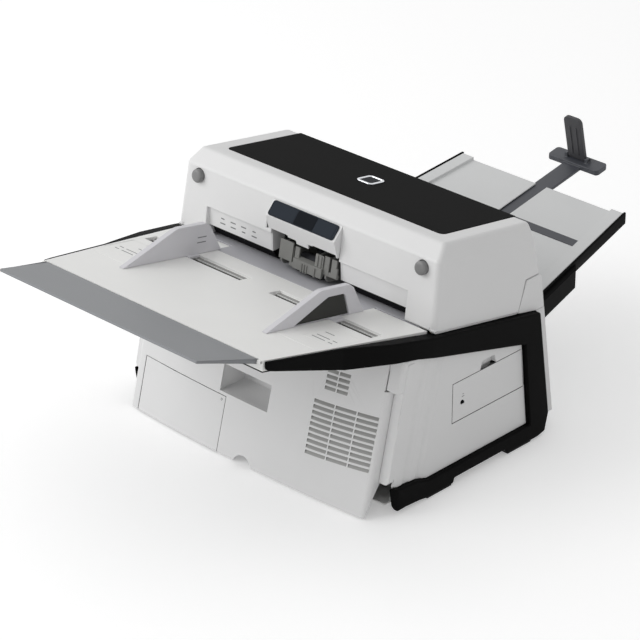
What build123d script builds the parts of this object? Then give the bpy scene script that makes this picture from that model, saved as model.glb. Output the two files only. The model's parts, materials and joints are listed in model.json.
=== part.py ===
from build123d import *
import os
from math import atan2, ceil, cos, degrees, floor, pi, radians, sin, sqrt, tan

# Document scanner with a lift-up cover, a sloping feed tray at the front
# and an output stacker at the back. X to the right, Y to the back, Z up.
# All sizes are millimetres.

# Overall casing
WIDTH = 440.0
FRAME_THICKNESS = 16.0
SIDE_RECESS = 6.0
WALL = 2.6
FIT_GAP = 0.3
FACE_GAP = 0.1
RUNNING_FIT = 0.05
TURNING_GAP = 0.5

# Paper path, one plane that falls to the back
PATH_SLOPE_DEG = 10.8
NIP_Y = -32.0
NIP_Z = 213.0

# Back of the casing
BACK_FOOT_Y = 193.7
BACK_LEAN_DEG = 8.8
BACK_STRIP = 15.0
BACK_COVER_BASE_Z = 24.0
BACK_PROUD = 8.0

# Black side frames
FRAME_TOP_Z = 174.2
FRAME_HEEL_Z = 30.0
FRAME_BASE_TOP_Z = 26.0
COLUMN_TOP_DEPTH = 32.0
COLUMN_LOW_DEPTH = 36.0
COLUMN_TOP_Z = 141.0
ARM_TIP_Y = -276.0
ARM_TIP_DEPTH = 13.0
ARM_BELLY_Y = -165.0
ARM_BELLY_DEPTH = 28.0
ARM_SHOULDER_Y = -64.0
ARM_SHOULDER_DEPTH = 27.0
RIM_DROP = 0.6
RIM_FALL = 2.6
TOE_Y = -111.0
TOE_Z = 42.0
TOE_SPLAY = 40.0
ARM_TIP_SET = 36.0
ARM_TIP_WEB = 3.6
ARM_BELLY_SET = 23.5
ARM_BELLY_WEB = 4.9
ARM_FLARE_SET = 6.0
ARM_FLARE_Y = -97.0
ARM_FULL_Y = -35.0
ARM_FULL_STEP = 0.4

# Feet
PAD_HEIGHT = 3.0
PAD_LENGTH = 43.0
PAD_WIDTH = 12.0
FOOT_LENGTH = 47.0
FOOT_HEIGHT = 9.5
FRONT_PAD_Y = -47.0
BACK_PAD_Y = 98.5

# Front panel
PANEL_FOOT_Y = -134.0
FRONT_LEAN_DEG = 14.6
FRONT_BOW = 8.0
FRONT_CORNER_RADIUS = 6.0
FRONT_SET = 21.0
FRONT_BASE_Z = 2.0
FRONT_TOP_Z = 205.0
FRONT_STEP_WIDTH = 6.0
FRONT_STEP_Z = 154.0
ARCH_X = 5.0
ARCH_RADIUS = 16.0
ARCH_HEIGHT = 10.0
POCKET_X = -10.0
POCKET_WIDTH = 80.0
POCKET_BASE_Z = 75.0
POCKET_HEIGHT = 33.0
POCKET_DEPTH = 34.0
POCKET_WALL = 2.0
FRONT_DOOR_SET = 35.0
FRONT_DOOR_RIGHT_X = -38.0
FRONT_DOOR_TOP_Z = 71.0
DOOR_GAP = 0.6
LOUVRE_SET = 75.0
LOUVRE_COLUMN = 30.5
LOUVRE_COLUMNS = 3
LOUVRE_WEB = 2.0
LOUVRE_HEIGHT = 3.0
LOUVRE_PITCH = 6.9
LOUVRE_ROWS = 10
LOUVRE_BASE_Z = 52.0
SMALL_LOUVRE_SET = 94.0
SMALL_LOUVRE_COLUMN = 16.0
SMALL_LOUVRE_COLUMNS = 2
SMALL_LOUVRE_ROWS = 4
SMALL_LOUVRE_BASE_Z = 131.5

# Side panels and the access door in the right one
FLUTE_RADIUS = 14.0
FLUTE_DEPTH = 1.8
FLUTE_BACK_SET = 57.0
FLUTE_SPACING = 24.0
SIDE_DOOR_FRONT_Y = 1.0
SIDE_DOOR_BASE_Z = 80.5
SIDE_DOOR_HEIGHT = 53.0
NOTCH_Y = 64.0
NOTCH_WIDTH = 28.0
NOTCH_HEIGHT = 11.0
NOTCH_DEPTH = 7.0
LOCK_Y = 18.0
LOCK_Z = 103.7
LOCK_RADIUS = 2.8
PANEL_EDGE_DEPTH = 9.0
PANEL_EDGE_RADIUS = 6.0
SHOULDER_DEPTH = 12.0

# Feed tray and its folding flap
TRAY_DECK = 5.0
TRAY_DEPTH = 13.0
TRAY_WALL = 2.5
PAN_THICKNESS = 1.6
SEAM_LINE_Y = -199.0
SEAM_LINE_WIDTH = 0.8
SEAM_LINE_DEPTH = 0.6
LABEL_FRONT_Y = -176.0
LABEL_BACK_Y = -128.0
LABEL_SET = 77.0
LABEL_WIDTH = 46.0
LABEL_DEPTH = 0.4
CHANNEL_Y = -102.0
CHANNEL_WIDTH = 20.0
CHANNEL_DEPTH = 3.0
CHANNEL_INNER_X = 24.0
CHANNEL_SET = 33.0
STEM_SLOT = 6.0
FLAP_LENGTH = 84.0
FLAP_THICKNESS = 4.4
FLAP_TIP_THICKNESS = 3.4
FLAP_FRONT_SET = 58.0
FLAP_BACK_SET = 46.0
FLAP_RISE_DEG = 6.0
FLAP_PIN_RADIUS = 1.3

# Paper guides, their racks and the pinion between them
GUIDE_SET = 105.7
GUIDE_THICKNESS = 7.5
GUIDE_SHOE_WIDTH = 15.0
SHOE_RISE = 0.5
GUIDE_LENGTH = 163.0
GUIDE_BACK_GAP = 22.0
GUIDE_HEIGHT = 38.0
INSERT_THICKNESS = 1.2
INSERT_RECESS = 3.2
RACK_HEIGHT = 3.6
RACK_BACK = 4.0
GEAR_MODULE = 1.5
PINION_TEETH = 14
TOOTH_SHARE = 0.36
GUIDE_TRAVEL_IN = 83.0
GUIDE_TRAVEL_OUT = 39.0
RACK_SPARE = 14.0

# Drive train under the paper path
PLATE_SET = 32.0
PLATE_THICKNESS = 2.5
BED_THICKNESS = 2.5
ENTRY_SET = 101.0
ENTRY_S = -27.0
SHAFT_RADIUS = 4.0
BUSH_RADIUS = 5.7
FEED_ROLLER_RADIUS = 12.0
FEED_ROLLER_S = 24.0
DRIVE_ROLLER_RADIUS = 9.0
FRONT_DRIVE_S = 70.0
BACK_DRIVE_S = 150.0
ROLLER_RISE = 0.4
TYRE_WIDTH = 22.0
TYRE_SPACING = 70.0
PULLEY_RADIUS = 8.0
PULLEY_WIDTH = 6.0
FLANGE_RISE = 1.7
FLANGE_WIDTH = 1.0
BELT_THICKNESS = 1.4
MOTOR_Y = 34.0
MOTOR_Z = 112.0
MOTOR_RADIUS = 26.0
MOTOR_LENGTH = 52.0
IDLER_RADIUS = 7.0
IDLER_SHAFT_RADIUS = 3.0

# Scan line
SCAN_S = 107.0
GLASS_WIDTH = 22.0
GLASS_SET = 62.0
GLASS_THICKNESS = 2.0
SENSOR_WIDTH = 38.0
SENSOR_HEIGHT = 40.0
SENSOR_OVERLAP = 7.0

# Cover that lifts
COVER_LEAN_DEG = 8.3
COVER_CREASE_Z = 296.0
COVER_TOP_FRONT_Y = -1.0
COVER_TOP_FRONT_Z = 312.1
COVER_TOP_SLOPE_DEG = 9.1
COVER_SIDE_LEAN_DEG = 3.4
COVER_SET = 7.5
COVER_SHOULDER_RUN = 8.5
COVER_SHOULDER_RISE = 19.2
COVER_EDGE_RADIUS = 7.0
COVER_GAP = 0.6
COVER_SKIRT = 2.3
SHELL_SLOT_X = -63.0
SHELL_SLOT_WIDTH = 3.4
SHELL_SLOT_Z = 260.0
SHELL_SLOT_HEIGHT = 13.0
LEG_SET = 54.5
CHUTE_TOP_Z = 249.0
CHUTE_BASE_Z = 224.0
CHUTE_STEP = 3.5
CHUTE_DEPTH = 7.0
MOUTH_HALF = 56.0
MOUTH_TOP_Z = 266.0
EXIT_LIP_Z = 190.0
TOP_PANEL_SET = 35.5
TOP_PANEL_FRONT_Y = 19.0
TOP_PANEL_LOW_Z = 279.0
TOP_PANEL_THICKNESS = 2.0
TOP_PANEL_PROUD = 0.4
TOP_PANEL_CORNER = 7.0
BADGE_Y = 88.0
BADGE_WIDTH = 26.0
BADGE_DEPTH = 28.0
BADGE_PROUD = 1.6

# Shroud over the pick unit
SHROUD_HALF = 56.5
SHROUD_REACH = 15.0
SHROUD_TOP_Z = 293.0
SHROUD_DROP = 16.0
SHROUD_LIP = 19.0
SHROUD_TAB = 8.0
SHROUD_LIP_RECESS = 7.5
BEZEL_HALF = 53.5
BEZEL_THICKNESS = 1.6
BEZEL_CORNER = 3.5

# Release buttons in the cover front
BUTTON_SET = 28.9
BUTTON_Z = 284.0
BUTTON_RADIUS = 8.4
BUTTON_PROUD = 6.5
BUTTON_TRAVEL = 3.0

# Pick unit
PICK_PIVOT_S = 50.0
PICK_PIVOT_N = 34.0
PICK_ROLLER_RADIUS = 11.0
PICK_ROLLER_S = 18.0
PICK_ROLLER_HALF = 16.0
PICK_CLEARANCE = 1.5
CHEEK_INNER = 17.5
CHEEK_OUTER = 38.0
PICK_FRONT_S = -1.0
PICK_TOP_N = 36.0
PICK_BAR_LOW_N = 7.0
PICK_BAR_TOP_N = 19.0
PICK_BAR_LEFT = -14.0
PICK_BAR_RIGHT = 32.5
PICK_END_X = 55.0
PICK_ROD_RADIUS = 3.0

# Rear hinge of the cover
HINGE_Z = 215.0
KNUCKLE_RADIUS = 5.6
HINGE_PIN_RADIUS = 2.5
HINGE_COVER_SET = 44.0
SEAM_FOOT_Y = 118.0
SEAM_TOP_Y = 133.0
SEAM_GAP = 1.0

# Output stacker
STACKER_FRONT_Y = 175.0
STACKER_END_Y = 414.0
STACKER_END_Z = 189.0
STACKER_RISE_DEG = 10.2
STACKER_SET = 82.3
STACKER_FLARE_DEG = 7.7
STACKER_THICKNESS = 14.0
STACKER_RIM = 22.0
STACKER_RECESS = 4.0
STRIP_Y = 333.0
STRIP_WIDTH = 12.5
TRIM_THICKNESS = 3.0
TRIM_STEP_Y = 292.0
TRIM_STEP_OUT = 8.0
TRIM_DEEP = 29.0
TRIM_SHALLOW = 15.0
RAIL_HALF = 14.0
RAIL_THICKNESS = 4.0
RAIL_LENGTH = 170.0
STOPPER_REACH = 84.0
STOPPER_BASE_HALF = 42.0
STOPPER_BASE_DEPTH = 22.0
STOPPER_BASE_HEIGHT = 7.0
BLADE_WIDTH = 28.0
BLADE_HEIGHT = 62.0
BLADE_THICKNESS = 5.0
BLADE_LEAN_DEG = 13.0
BLADE_PIN_RADIUS = 1.6

# Chassis and electrics
CHASSIS_THICKNESS = 2.0
CHASSIS_Z = 11.0
CHASSIS_FRONT_Y = -104.0
CHASSIS_FLANGE = 24.0
FAN_SIZE = 60.0
FAN_DEPTH = 20.0
FAN_SET = 80.0
FAN_Z = 88.0
FAN_BLADES = 7
BOARD_THICKNESS = 1.6
BOARD_WIDTH = 150.0
BOARD_HEIGHT = 100.0
BOARD_SET = 120.0
SUPPLY_WIDTH = 120.0
SUPPLY_DEPTH = 80.0
SUPPLY_HEIGHT = 50.0
SUPPLY_SET = 140.0
PORT_Z = 70.0
INLET_SET = 60.0
INLET_WIDTH = 27.0
INLET_HEIGHT = 20.0
SWITCH_SET = 40.0
SWITCH_WIDTH = 13.0
SWITCH_HEIGHT = 20.0
SWITCH_TILT_DEG = 8.0
DATA_PORT_SET = 100.0
DATA_PORT_WIDTH = 14.0
DATA_PORT_HEIGHT = 12.0
SCREW_RADIUS = 1.7
SCREW_HEAD_RADIUS = 3.4
SCREW_SET = 16.5
SCREW_LOW_Z = 44.0
SCREW_HIGH_Z = 150.0
SCREW_LENGTH = 8.0

# Values that follow from the ones above
HALF = WIDTH / 2
FRAME_INNER_X = HALF - FRAME_THICKNESS
PANEL_X = HALF - SIDE_RECESS
ARM_TIP_X = HALF - ARM_TIP_SET
ARM_TIP_INNER_X = ARM_TIP_X - ARM_TIP_WEB
ARM_BELLY_X = HALF - ARM_BELLY_SET
ARM_BELLY_INNER_X = ARM_BELLY_X - ARM_BELLY_WEB
ARM_FLARE_X = HALF - ARM_FLARE_SET
ARM_FULL_INNER_X = FRAME_INNER_X - ARM_FULL_STEP
FRONT_HALF_WIDTH = HALF - FRONT_SET
FRONT_DOOR_LEFT_X = FRONT_DOOR_SET - HALF
LOUVRE_X = HALF - LOUVRE_SET
SMALL_LOUVRE_X = HALF - SMALL_LOUVRE_SET
LABEL_INNER_X = HALF - LABEL_SET
CHANNEL_OUTER_X = HALF - CHANNEL_SET
FLAP_FRONT_HALF = HALF - FLAP_FRONT_SET
FLAP_BACK_HALF = HALF - FLAP_BACK_SET
GUIDE_FACE_X = HALF - GUIDE_SET
PLATE_X = HALF - PLATE_SET
ENTRY_HALF = HALF - ENTRY_SET
GLASS_LENGTH = WIDTH - 2 * GLASS_SET
SENSOR_LENGTH = GLASS_LENGTH + 2 * SENSOR_OVERLAP
COVER_BASE_HALF = HALF - COVER_SET
LEG_INNER_X = HALF - LEG_SET
TOP_PANEL_HALF = COVER_BASE_HALF - TOP_PANEL_SET
BUTTON_X = COVER_BASE_HALF - BUTTON_SET
HINGE_COVER_INNER_X = HALF - HINGE_COVER_SET
STACKER_END_HALF = HALF - STACKER_SET
FAN_X = HALF - FAN_SET
BOARD_X = HALF - BOARD_SET
SUPPLY_X = SUPPLY_SET - HALF
INLET_X = INLET_SET - HALF
SWITCH_X = INLET_X + SWITCH_SET
DATA_PORT_X = HALF - DATA_PORT_SET
SCREW_X = COVER_BASE_HALF - SCREW_SET
BEHIND_Y = BACK_FOOT_Y + BACK_STRIP
FAR_Y = STACKER_END_Y + 2 * STOPPER_REACH
PATH_SLOPE = tan(radians(PATH_SLOPE_DEG))
BACK_LEAN = tan(radians(BACK_LEAN_DEG))
FRONT_LEAN = tan(radians(FRONT_LEAN_DEG))
COVER_LEAN = tan(radians(COVER_LEAN_DEG))
STACKER_RISE = tan(radians(STACKER_RISE_DEG))
STACKER_FLARE = tan(radians(STACKER_FLARE_DEG))
BED = Plane(
    origin=(0, NIP_Y, NIP_Z),
    x_dir=(1, 0, 0),
    z_dir=(0, sin(radians(PATH_SLOPE_DEG)), cos(radians(PATH_SLOPE_DEG))),
)
HINGE_Y = BACK_FOOT_Y - BACK_LEAN * HINGE_Z - KNUCKLE_RADIUS
GUIDE_BACK_S = -GUIDE_BACK_GAP
GUIDE_FRONT_S = GUIDE_BACK_S - GUIDE_LENGTH
CHANNEL_S = (CHANNEL_Y - NIP_Y) / cos(radians(PATH_SLOPE_DEG))
PITCH_RADIUS = GEAR_MODULE * PINION_TEETH / 2
RACK_TOP_N = -TRAY_DECK - 0.7
RACK_LOW_N = RACK_TOP_N - RACK_HEIGHT
FEED_AXIS_N = ROLLER_RISE - FEED_ROLLER_RADIUS
DRIVE_AXIS_N = ROLLER_RISE - DRIVE_ROLLER_RADIUS
GUIDE_PLATE_N = 1.6
GUIDE_FRONT_EDGE_S = 17.0
IDLER_AXIS_N = ROLLER_RISE + TURNING_GAP + IDLER_RADIUS
BED_END_S = 196.0
PULLEY_X = -(PLATE_X + PLATE_THICKNESS + 4.0 + PULLEY_WIDTH)


def bed_z(y, lift=0.0):
    """Height of the paper path at a place along the machine."""
    return NIP_Z - PATH_SLOPE * (y - NIP_Y) + lift


def bed_point(s, n):
    """Global (y, z) of a point given along and above the paper path."""
    slope = radians(PATH_SLOPE_DEG)
    y = NIP_Y + s * cos(slope) + n * sin(slope)
    z = NIP_Z - s * sin(slope) + n * cos(slope)
    return y, z


def back_y(z, inset=0.0):
    """Back face of the casing at a height."""
    return BACK_FOOT_Y - BACK_LEAN * z - inset


def front_y(z, inset=0.0):
    """Front panel face beside its bow at a height."""
    return PANEL_FOOT_Y + FRONT_LEAN * z + inset


def cover_front_y(z):
    """Front face of the cover at a height."""
    return NIP_Y + COVER_LEAN * (z - NIP_Z)


def stacker_z(y, lift=0.0):
    """Top of the stacker rim at a place along the machine."""
    return STACKER_END_Z - STACKER_RISE * (STACKER_END_Y - y) + lift


def stacker_half(y):
    """Half width of the stacker at a place along the machine."""
    return STACKER_END_HALF + STACKER_FLARE * (STACKER_END_Y - y)


def arm_inner_x(y):
    """Inner face of the black arm beside the feed tray."""
    stations = [
        (ARM_TIP_Y, ARM_TIP_INNER_X),
        (ARM_BELLY_Y, ARM_BELLY_INNER_X),
        (ARM_FULL_Y, ARM_FULL_INNER_X),
    ]
    for (y0, x0), (y1, x1) in zip(stations, stations[1:]):
        if y <= y1:
            return x0 + (x1 - x0) * (y - y0) / (y1 - y0)
    return ARM_FULL_INNER_X


def block(x0, x1, y0, y1, z0, z1):
    """Box between two corners."""
    centre = ((x0 + x1) / 2, (y0 + y1) / 2, (z0 + z1) / 2)
    return Pos(*centre) * Box(abs(x1 - x0), abs(y1 - y0), abs(z1 - z0))


def side_prism(points, x0, x1):
    """Outline in (y, z), carried from x0 to x1."""
    outline = make_face(Polyline(*points, close=True))
    return extrude(Plane.YZ.offset(x0) * outline, x1 - x0)


def plan_prism(points, z0, z1):
    """Outline in (x, y), carried from z0 to z1."""
    outline = make_face(Polyline(*points, close=True))
    return extrude(Pos(0, 0, z0) * outline, z1 - z0)


def rod_x(radius, x0, x1, y, z):
    """Round bar along X."""
    return Pos((x0 + x1) / 2, y, z) * Rot(0, 90, 0) * Cylinder(radius, abs(x1 - x0))


def rod_y(radius, x, y0, y1, z):
    """Round bar along Y."""
    return Pos(x, (y0 + y1) / 2, z) * Rot(90, 0, 0) * Cylinder(radius, abs(y1 - y0))


def mirrored(shape):
    """The same piece for the left side."""
    return mirror(shape, about=Plane.YZ)


def both_sides(shape):
    """A piece and its mirror image."""
    return [shape, mirrored(shape)]


# Frames and chassis


def frame_side_outline():
    """Outline of the black frame seen from the side, open to the front."""
    foot_back = BACK_PAD_Y + FOOT_LENGTH
    heel_y = back_y(FRAME_HEEL_Z, BACK_STRIP)
    column_top_y = back_y(COLUMN_TOP_Z, BACK_STRIP + COLUMN_TOP_DEPTH)
    column_low_y = back_y(FRAME_BASE_TOP_Z, BACK_STRIP + COLUMN_LOW_DEPTH)
    return [
        (ARM_TIP_Y, bed_z(ARM_TIP_Y, -RIM_DROP)),
        (ARM_BELLY_Y, bed_z(ARM_BELLY_Y, -RIM_DROP)),
        (ARM_FULL_Y, bed_z(ARM_FULL_Y, -RIM_FALL)),
        (back_y(FRAME_TOP_Z, BACK_STRIP), FRAME_TOP_Z),
        (heel_y, FRAME_HEEL_Z),
        (heel_y - 6, PAD_HEIGHT + 3),
        (foot_back + 9, PAD_HEIGHT),
        (BACK_PAD_Y, PAD_HEIGHT),
        (BACK_PAD_Y - 5, FOOT_HEIGHT),
        (FRONT_PAD_Y + FOOT_LENGTH + 2, FOOT_HEIGHT),
        (FRONT_PAD_Y + FOOT_LENGTH, PAD_HEIGHT),
        (FRONT_PAD_Y, PAD_HEIGHT),
        (FRONT_PAD_Y - 13, PAD_HEIGHT + 2),
        (TOE_Y + 27, PAD_HEIGHT + 3.5),
        (TOE_Y + 13, PAD_HEIGHT + 3),
        (TOE_Y + 7, PAD_HEIGHT + 11),
        (TOE_Y, TOE_Z),
        (TOE_Y + 16, TOE_Z - 7),
        (TOE_Y + 47, TOE_Z - 9),
        (TOE_Y + 68, FRAME_BASE_TOP_Z),
        (column_low_y, FRAME_BASE_TOP_Z),
        (column_top_y, COLUMN_TOP_Z),
        (ARM_SHOULDER_Y, bed_z(ARM_SHOULDER_Y, -ARM_SHOULDER_DEPTH)),
        (ARM_BELLY_Y, bed_z(ARM_BELLY_Y, -ARM_BELLY_DEPTH)),
        (ARM_TIP_Y + 5, bed_z(ARM_TIP_Y + 5, -ARM_TIP_DEPTH)),
        (ARM_TIP_Y, bed_z(ARM_TIP_Y, 3 - ARM_TIP_DEPTH)),
    ]


def frame_plan_outline():
    """Outline of the right frame seen from above, with the flared arm."""
    behind = BACK_FOOT_Y
    return [
        (ARM_TIP_INNER_X, ARM_TIP_Y),
        (ARM_TIP_X, ARM_TIP_Y),
        (ARM_TIP_X + 2.5, ARM_TIP_Y + 12),
        (ARM_BELLY_X, ARM_BELLY_Y - 5),
        (ARM_BELLY_X + 6, ARM_BELLY_Y + 19),
        (ARM_FLARE_X, ARM_FLARE_Y),
        (HALF - 2, ARM_FULL_Y - 22),
        (HALF, ARM_FULL_Y),
        (HALF, behind),
        (FRAME_INNER_X, behind),
        (FRAME_INNER_X, ARM_FULL_Y),
        (ARM_FULL_INNER_X, ARM_FULL_Y),
        (ARM_BELLY_INNER_X, ARM_BELLY_Y),
    ]


def frame_foot_plan():
    """Plan of the lower leg of the right frame, full thickness to the toe."""
    return [
        (FRAME_INNER_X, TOE_Y + TOE_SPLAY),
        (HALF - 4, TOE_Y),
        (HALF, TOE_Y + 12),
        (HALF, BACK_FOOT_Y),
        (FRAME_INNER_X, BACK_FOOT_Y),
    ]


def make_frame():
    side = side_prism(frame_side_outline(), ARM_TIP_INNER_X - 10, HALF)
    arm_plan = plan_prism(frame_plan_outline(), COLUMN_TOP_Z, bed_z(ARM_TIP_Y, 20))
    foot_plan = plan_prism(frame_foot_plan(), 0, COLUMN_TOP_Z)
    return side & (arm_plan + foot_plan)


def make_rubber_feet():
    pads = []
    x = HALF - FRAME_THICKNESS / 2
    for y in (FRONT_PAD_Y, BACK_PAD_Y):
        middle = y + FOOT_LENGTH / 2
        pad = block(
            x - PAD_WIDTH / 2, x + PAD_WIDTH / 2,
            middle - PAD_LENGTH / 2, middle + PAD_LENGTH / 2,
            0, PAD_HEIGHT,
        )
        pad = chamfer(pad.faces().sort_by(Axis.Z)[0].edges(), 0.8)
        pads += both_sides(pad)
    return pads


def make_base_plate():
    """Folded sheet-steel tray that ties the two frames together."""
    edge = FRAME_INNER_X - FACE_GAP
    back = back_y(CHASSIS_Z, BACK_STRIP + COLUMN_LOW_DEPTH)
    floor_sheet = block(-edge, edge, CHASSIS_FRONT_Y, back,
                        CHASSIS_Z, CHASSIS_Z + CHASSIS_THICKNESS)
    flange = block(edge - CHASSIS_THICKNESS, edge, CHASSIS_FRONT_Y + 40, back,
                   CHASSIS_Z, CHASSIS_Z + CHASSIS_FLANGE)
    return floor_sheet + flange + mirrored(flange)


def inner_plate():
    """Steel plate that carries the shafts on the right side."""
    front = CHASSIS_FRONT_Y + 34
    low = CHASSIS_Z + CHASSIS_THICKNESS + FACE_GAP
    top_front = NIP_Y + 8
    back = back_y(low, BACK_STRIP + COLUMN_LOW_DEPTH + 4)
    top_back = back_y(bed_z(back), BACK_STRIP)
    drop = -BED_THICKNESS - FACE_GAP
    outline = [
        (front, low), (back, low), (top_back, bed_z(top_back, drop)),
        (top_front, bed_z(top_front, drop)), (front, bed_z(top_front, drop) - 60),
    ]
    return side_prism(outline, PLATE_X, PLATE_X + PLATE_THICKNESS)


def shaft_stations():
    """Axis places of the three driven shafts, as (y, z)."""
    return [
        bed_point(FEED_ROLLER_S, FEED_AXIS_N),
        bed_point(FRONT_DRIVE_S, DRIVE_AXIS_N),
        bed_point(BACK_DRIVE_S, DRIVE_AXIS_N),
    ]


def make_inner_plates():
    right = inner_plate()
    for y, z in shaft_stations():
        right -= rod_x(BUSH_RADIUS + RUNNING_FIT, PLATE_X - 1, PLATE_X + PLATE_THICKNESS + 1, y, z)
    left = mirrored(right)
    shaft_hole = rod_x(BUSH_RADIUS, -PLATE_X - PLATE_THICKNESS - 1, 1 - PLATE_X, MOTOR_Y, MOTOR_Z)
    left -= shaft_hole
    return [right, left]


def make_shaft_bushes():
    bushes = []
    for y, z in shaft_stations():
        x0 = PLATE_X - 2
        x1 = PLATE_X + PLATE_THICKNESS + 1
        bush = rod_x(BUSH_RADIUS, x0, x1, y, z)
        bush -= rod_x(SHAFT_RADIUS + RUNNING_FIT, x0 - 1, x1 + 1, y, z)
        bushes += both_sides(bush)
    return bushes


# Outer panels of the base


def front_arc(inset):
    """Bowed line of the front panel in plan, at floor height."""
    side = PANEL_FOOT_Y + inset
    return ThreePointArc(
        (-FRONT_HALF_WIDTH, side), (0, side - FRONT_BOW), (FRONT_HALF_WIDTH, side)
    )


def front_sheet(inset, thickness, z0, z1):
    """Bowed and leaning sheet between two heights."""
    outer = front_arc(inset)
    inner = front_arc(inset + thickness)
    ends = [Line(outer @ 0, inner @ 0), Line(outer @ 1, inner @ 1)]
    section = make_face(Curve() + [outer, inner] + ends)
    lean = Vector(0, FRONT_LEAN, 1)
    section = Pos(0, FRONT_LEAN * z0, z0) * section
    return extrude(section, (z1 - z0) * lean.length, dir=lean)


def side_front_y(z, inset=0.0):
    """Front edge of the side panel at a height."""
    toe_back = TOE_Y + inset
    shoulder_z = bed_z(ARM_SHOULDER_Y, -ARM_SHOULDER_DEPTH)
    share = (z - TOE_Z) / (shoulder_z - TOE_Z)
    return toe_back + share * (ARM_SHOULDER_Y - 12 - TOE_Y)


def front_return():
    """Right end wall of the front panel, swept up towards the back."""
    low_back = side_front_y(TOE_Z, 8)
    outline = Polyline(
        (front_y(FRONT_STEP_Z), FRONT_STEP_Z),
        (front_y(FRONT_BASE_Z + 1), FRONT_BASE_Z + 1),
        (front_y(FRONT_BASE_Z + 1) + 2, FRONT_BASE_Z + 1),
    )
    sweep_up = ThreePointArc(
        outline @ 1,
        (low_back - 14, TOE_Z - 15),
        (low_back, TOE_Z + 2),
    )
    top = Polyline(
        sweep_up @ 1,
        (side_front_y(FRONT_STEP_Z, 2), FRONT_STEP_Z),
        (front_y(FRONT_STEP_Z), FRONT_STEP_Z),
    )
    face = make_face(Curve() + [outline, sweep_up, top])
    x0 = FRONT_HALF_WIDTH - WALL
    return extrude(Plane.YZ.offset(x0) * face, WALL)


def door_zone(gap):
    """Block that holds the front door, with its own gap around it."""
    return block(
        FRONT_DOOR_LEFT_X + gap, FRONT_DOOR_RIGHT_X - gap,
        front_y(0) - FRONT_BOW - 20, front_y(FRONT_DOOR_TOP_Z) + 20,
        FRONT_BASE_Z - 5, FRONT_DOOR_TOP_Z - gap,
    )


def front_surface_y(x, z):
    """Front panel face at a place across and up."""
    radius = (FRONT_HALF_WIDTH ** 2 + FRONT_BOW ** 2) / (2 * FRONT_BOW)
    bow = sqrt(radius ** 2 - x ** 2) - (radius - FRONT_BOW)
    return front_y(z) - bow


def front_door_axis():
    """Foot and direction of the hinge line of the front door."""
    x = FRONT_DOOR_LEFT_X + DOOR_GAP + WALL / 2
    foot = Vector(x, front_surface_y(x, 0) + WALL / 2, 0)
    return foot, Vector(0, FRONT_LEAN, 1).normalized()


def leaning_rod(x, y_foot, radius, z0, z1):
    """Round bar that follows the lean of the front panel."""
    lean = Vector(0, FRONT_LEAN, 1)
    start = Vector(x, y_foot, 0) + lean * z0
    plane = Plane(origin=start, z_dir=lean.normalized())
    return extrude(plane * Circle(radius), (z1 - z0) * lean.length)


def front_door_bulge(radius):
    foot, _ = front_door_axis()
    return leaning_rod(foot.X, foot.Y, radius, FRONT_BASE_Z + 3, FRONT_DOOR_TOP_Z - 3)


def louvre_slots(x, base_z, columns, column, rows):
    """Slots of one louvre group, cut straight through along Y."""
    slots = []
    span = columns * column + (columns - 1) * LOUVRE_WEB
    for row in range(rows):
        z = base_z + row * LOUVRE_PITCH
        y = front_surface_y(x, z)
        for number in range(columns):
            x0 = x - span / 2 + number * (column + LOUVRE_WEB)
            outline = [(y - 4, z - 4), (y - 4, z - 4 + LOUVRE_HEIGHT),
                       (y + 12, z + 12 + LOUVRE_HEIGHT), (y + 12, z + 12)]
            slots.append(side_prism(outline, x0, x0 + column))
    return slots


def pocket_zone(grow, y0, y1):
    return block(
        POCKET_X - POCKET_WIDTH / 2 - grow, POCKET_X + POCKET_WIDTH / 2 + grow,
        y0, y1,
        POCKET_BASE_Z - grow, POCKET_BASE_Z + POCKET_HEIGHT + grow,
    )


def is_front_corner(edge):
    """Tells the upright outer edge between the front panel and its end wall."""
    middle = edge.center()
    on_end = abs(abs(middle.X) - FRONT_HALF_WIDTH) < 0.1
    on_front = abs(middle.Y - front_y(middle.Z)) < 0.5
    return on_end and on_front and edge.length > FRONT_STEP_Z / 2


def make_front_panel():
    panel = front_sheet(0, WALL, FRONT_BASE_Z, FRONT_TOP_Z)
    panel += front_return() + mirrored(front_return())
    step = block(
        FRONT_HALF_WIDTH - FRONT_STEP_WIDTH, FRONT_HALF_WIDTH + 5,
        front_y(FRONT_STEP_Z) - 30, front_y(FRONT_TOP_Z) + 60,
        FRONT_STEP_Z, FRONT_TOP_Z + 5,
    )
    panel -= step + mirrored(step)
    panel = fillet(panel.edges().filter_by(is_front_corner), FRONT_CORNER_RADIUS)
    panel -= door_zone(0)
    arch_z = FRONT_BASE_Z + ARCH_HEIGHT - ARCH_RADIUS
    panel -= rod_y(ARCH_RADIUS, ARCH_X, front_y(0) - FRONT_BOW - 20, front_y(0) + 30, arch_z)
    pocket_y = front_surface_y(POCKET_X, POCKET_BASE_Z)
    panel -= pocket_zone(0, pocket_y - 20, pocket_y + POCKET_DEPTH)
    panel -= louvre_slots(LOUVRE_X, LOUVRE_BASE_Z, LOUVRE_COLUMNS, LOUVRE_COLUMN, LOUVRE_ROWS)
    panel -= louvre_slots(SMALL_LOUVRE_X, SMALL_LOUVRE_BASE_Z, SMALL_LOUVRE_COLUMNS,
                          SMALL_LOUVRE_COLUMN, SMALL_LOUVRE_ROWS)
    return panel


def make_front_door():
    foot, _ = front_door_axis()
    sheet = front_sheet(0, WALL, FRONT_BASE_Z, FRONT_TOP_Z)
    zone = door_zone(DOOR_GAP) & block(
        foot.X, 0, PANEL_FOOT_Y - 40, 0, FRONT_BASE_Z - 2, FRONT_DOOR_TOP_Z
    )
    door = sheet & zone
    return door + leaning_rod(foot.X, foot.Y, WALL / 2, FRONT_BASE_Z, FRONT_DOOR_TOP_Z - DOOR_GAP)


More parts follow.
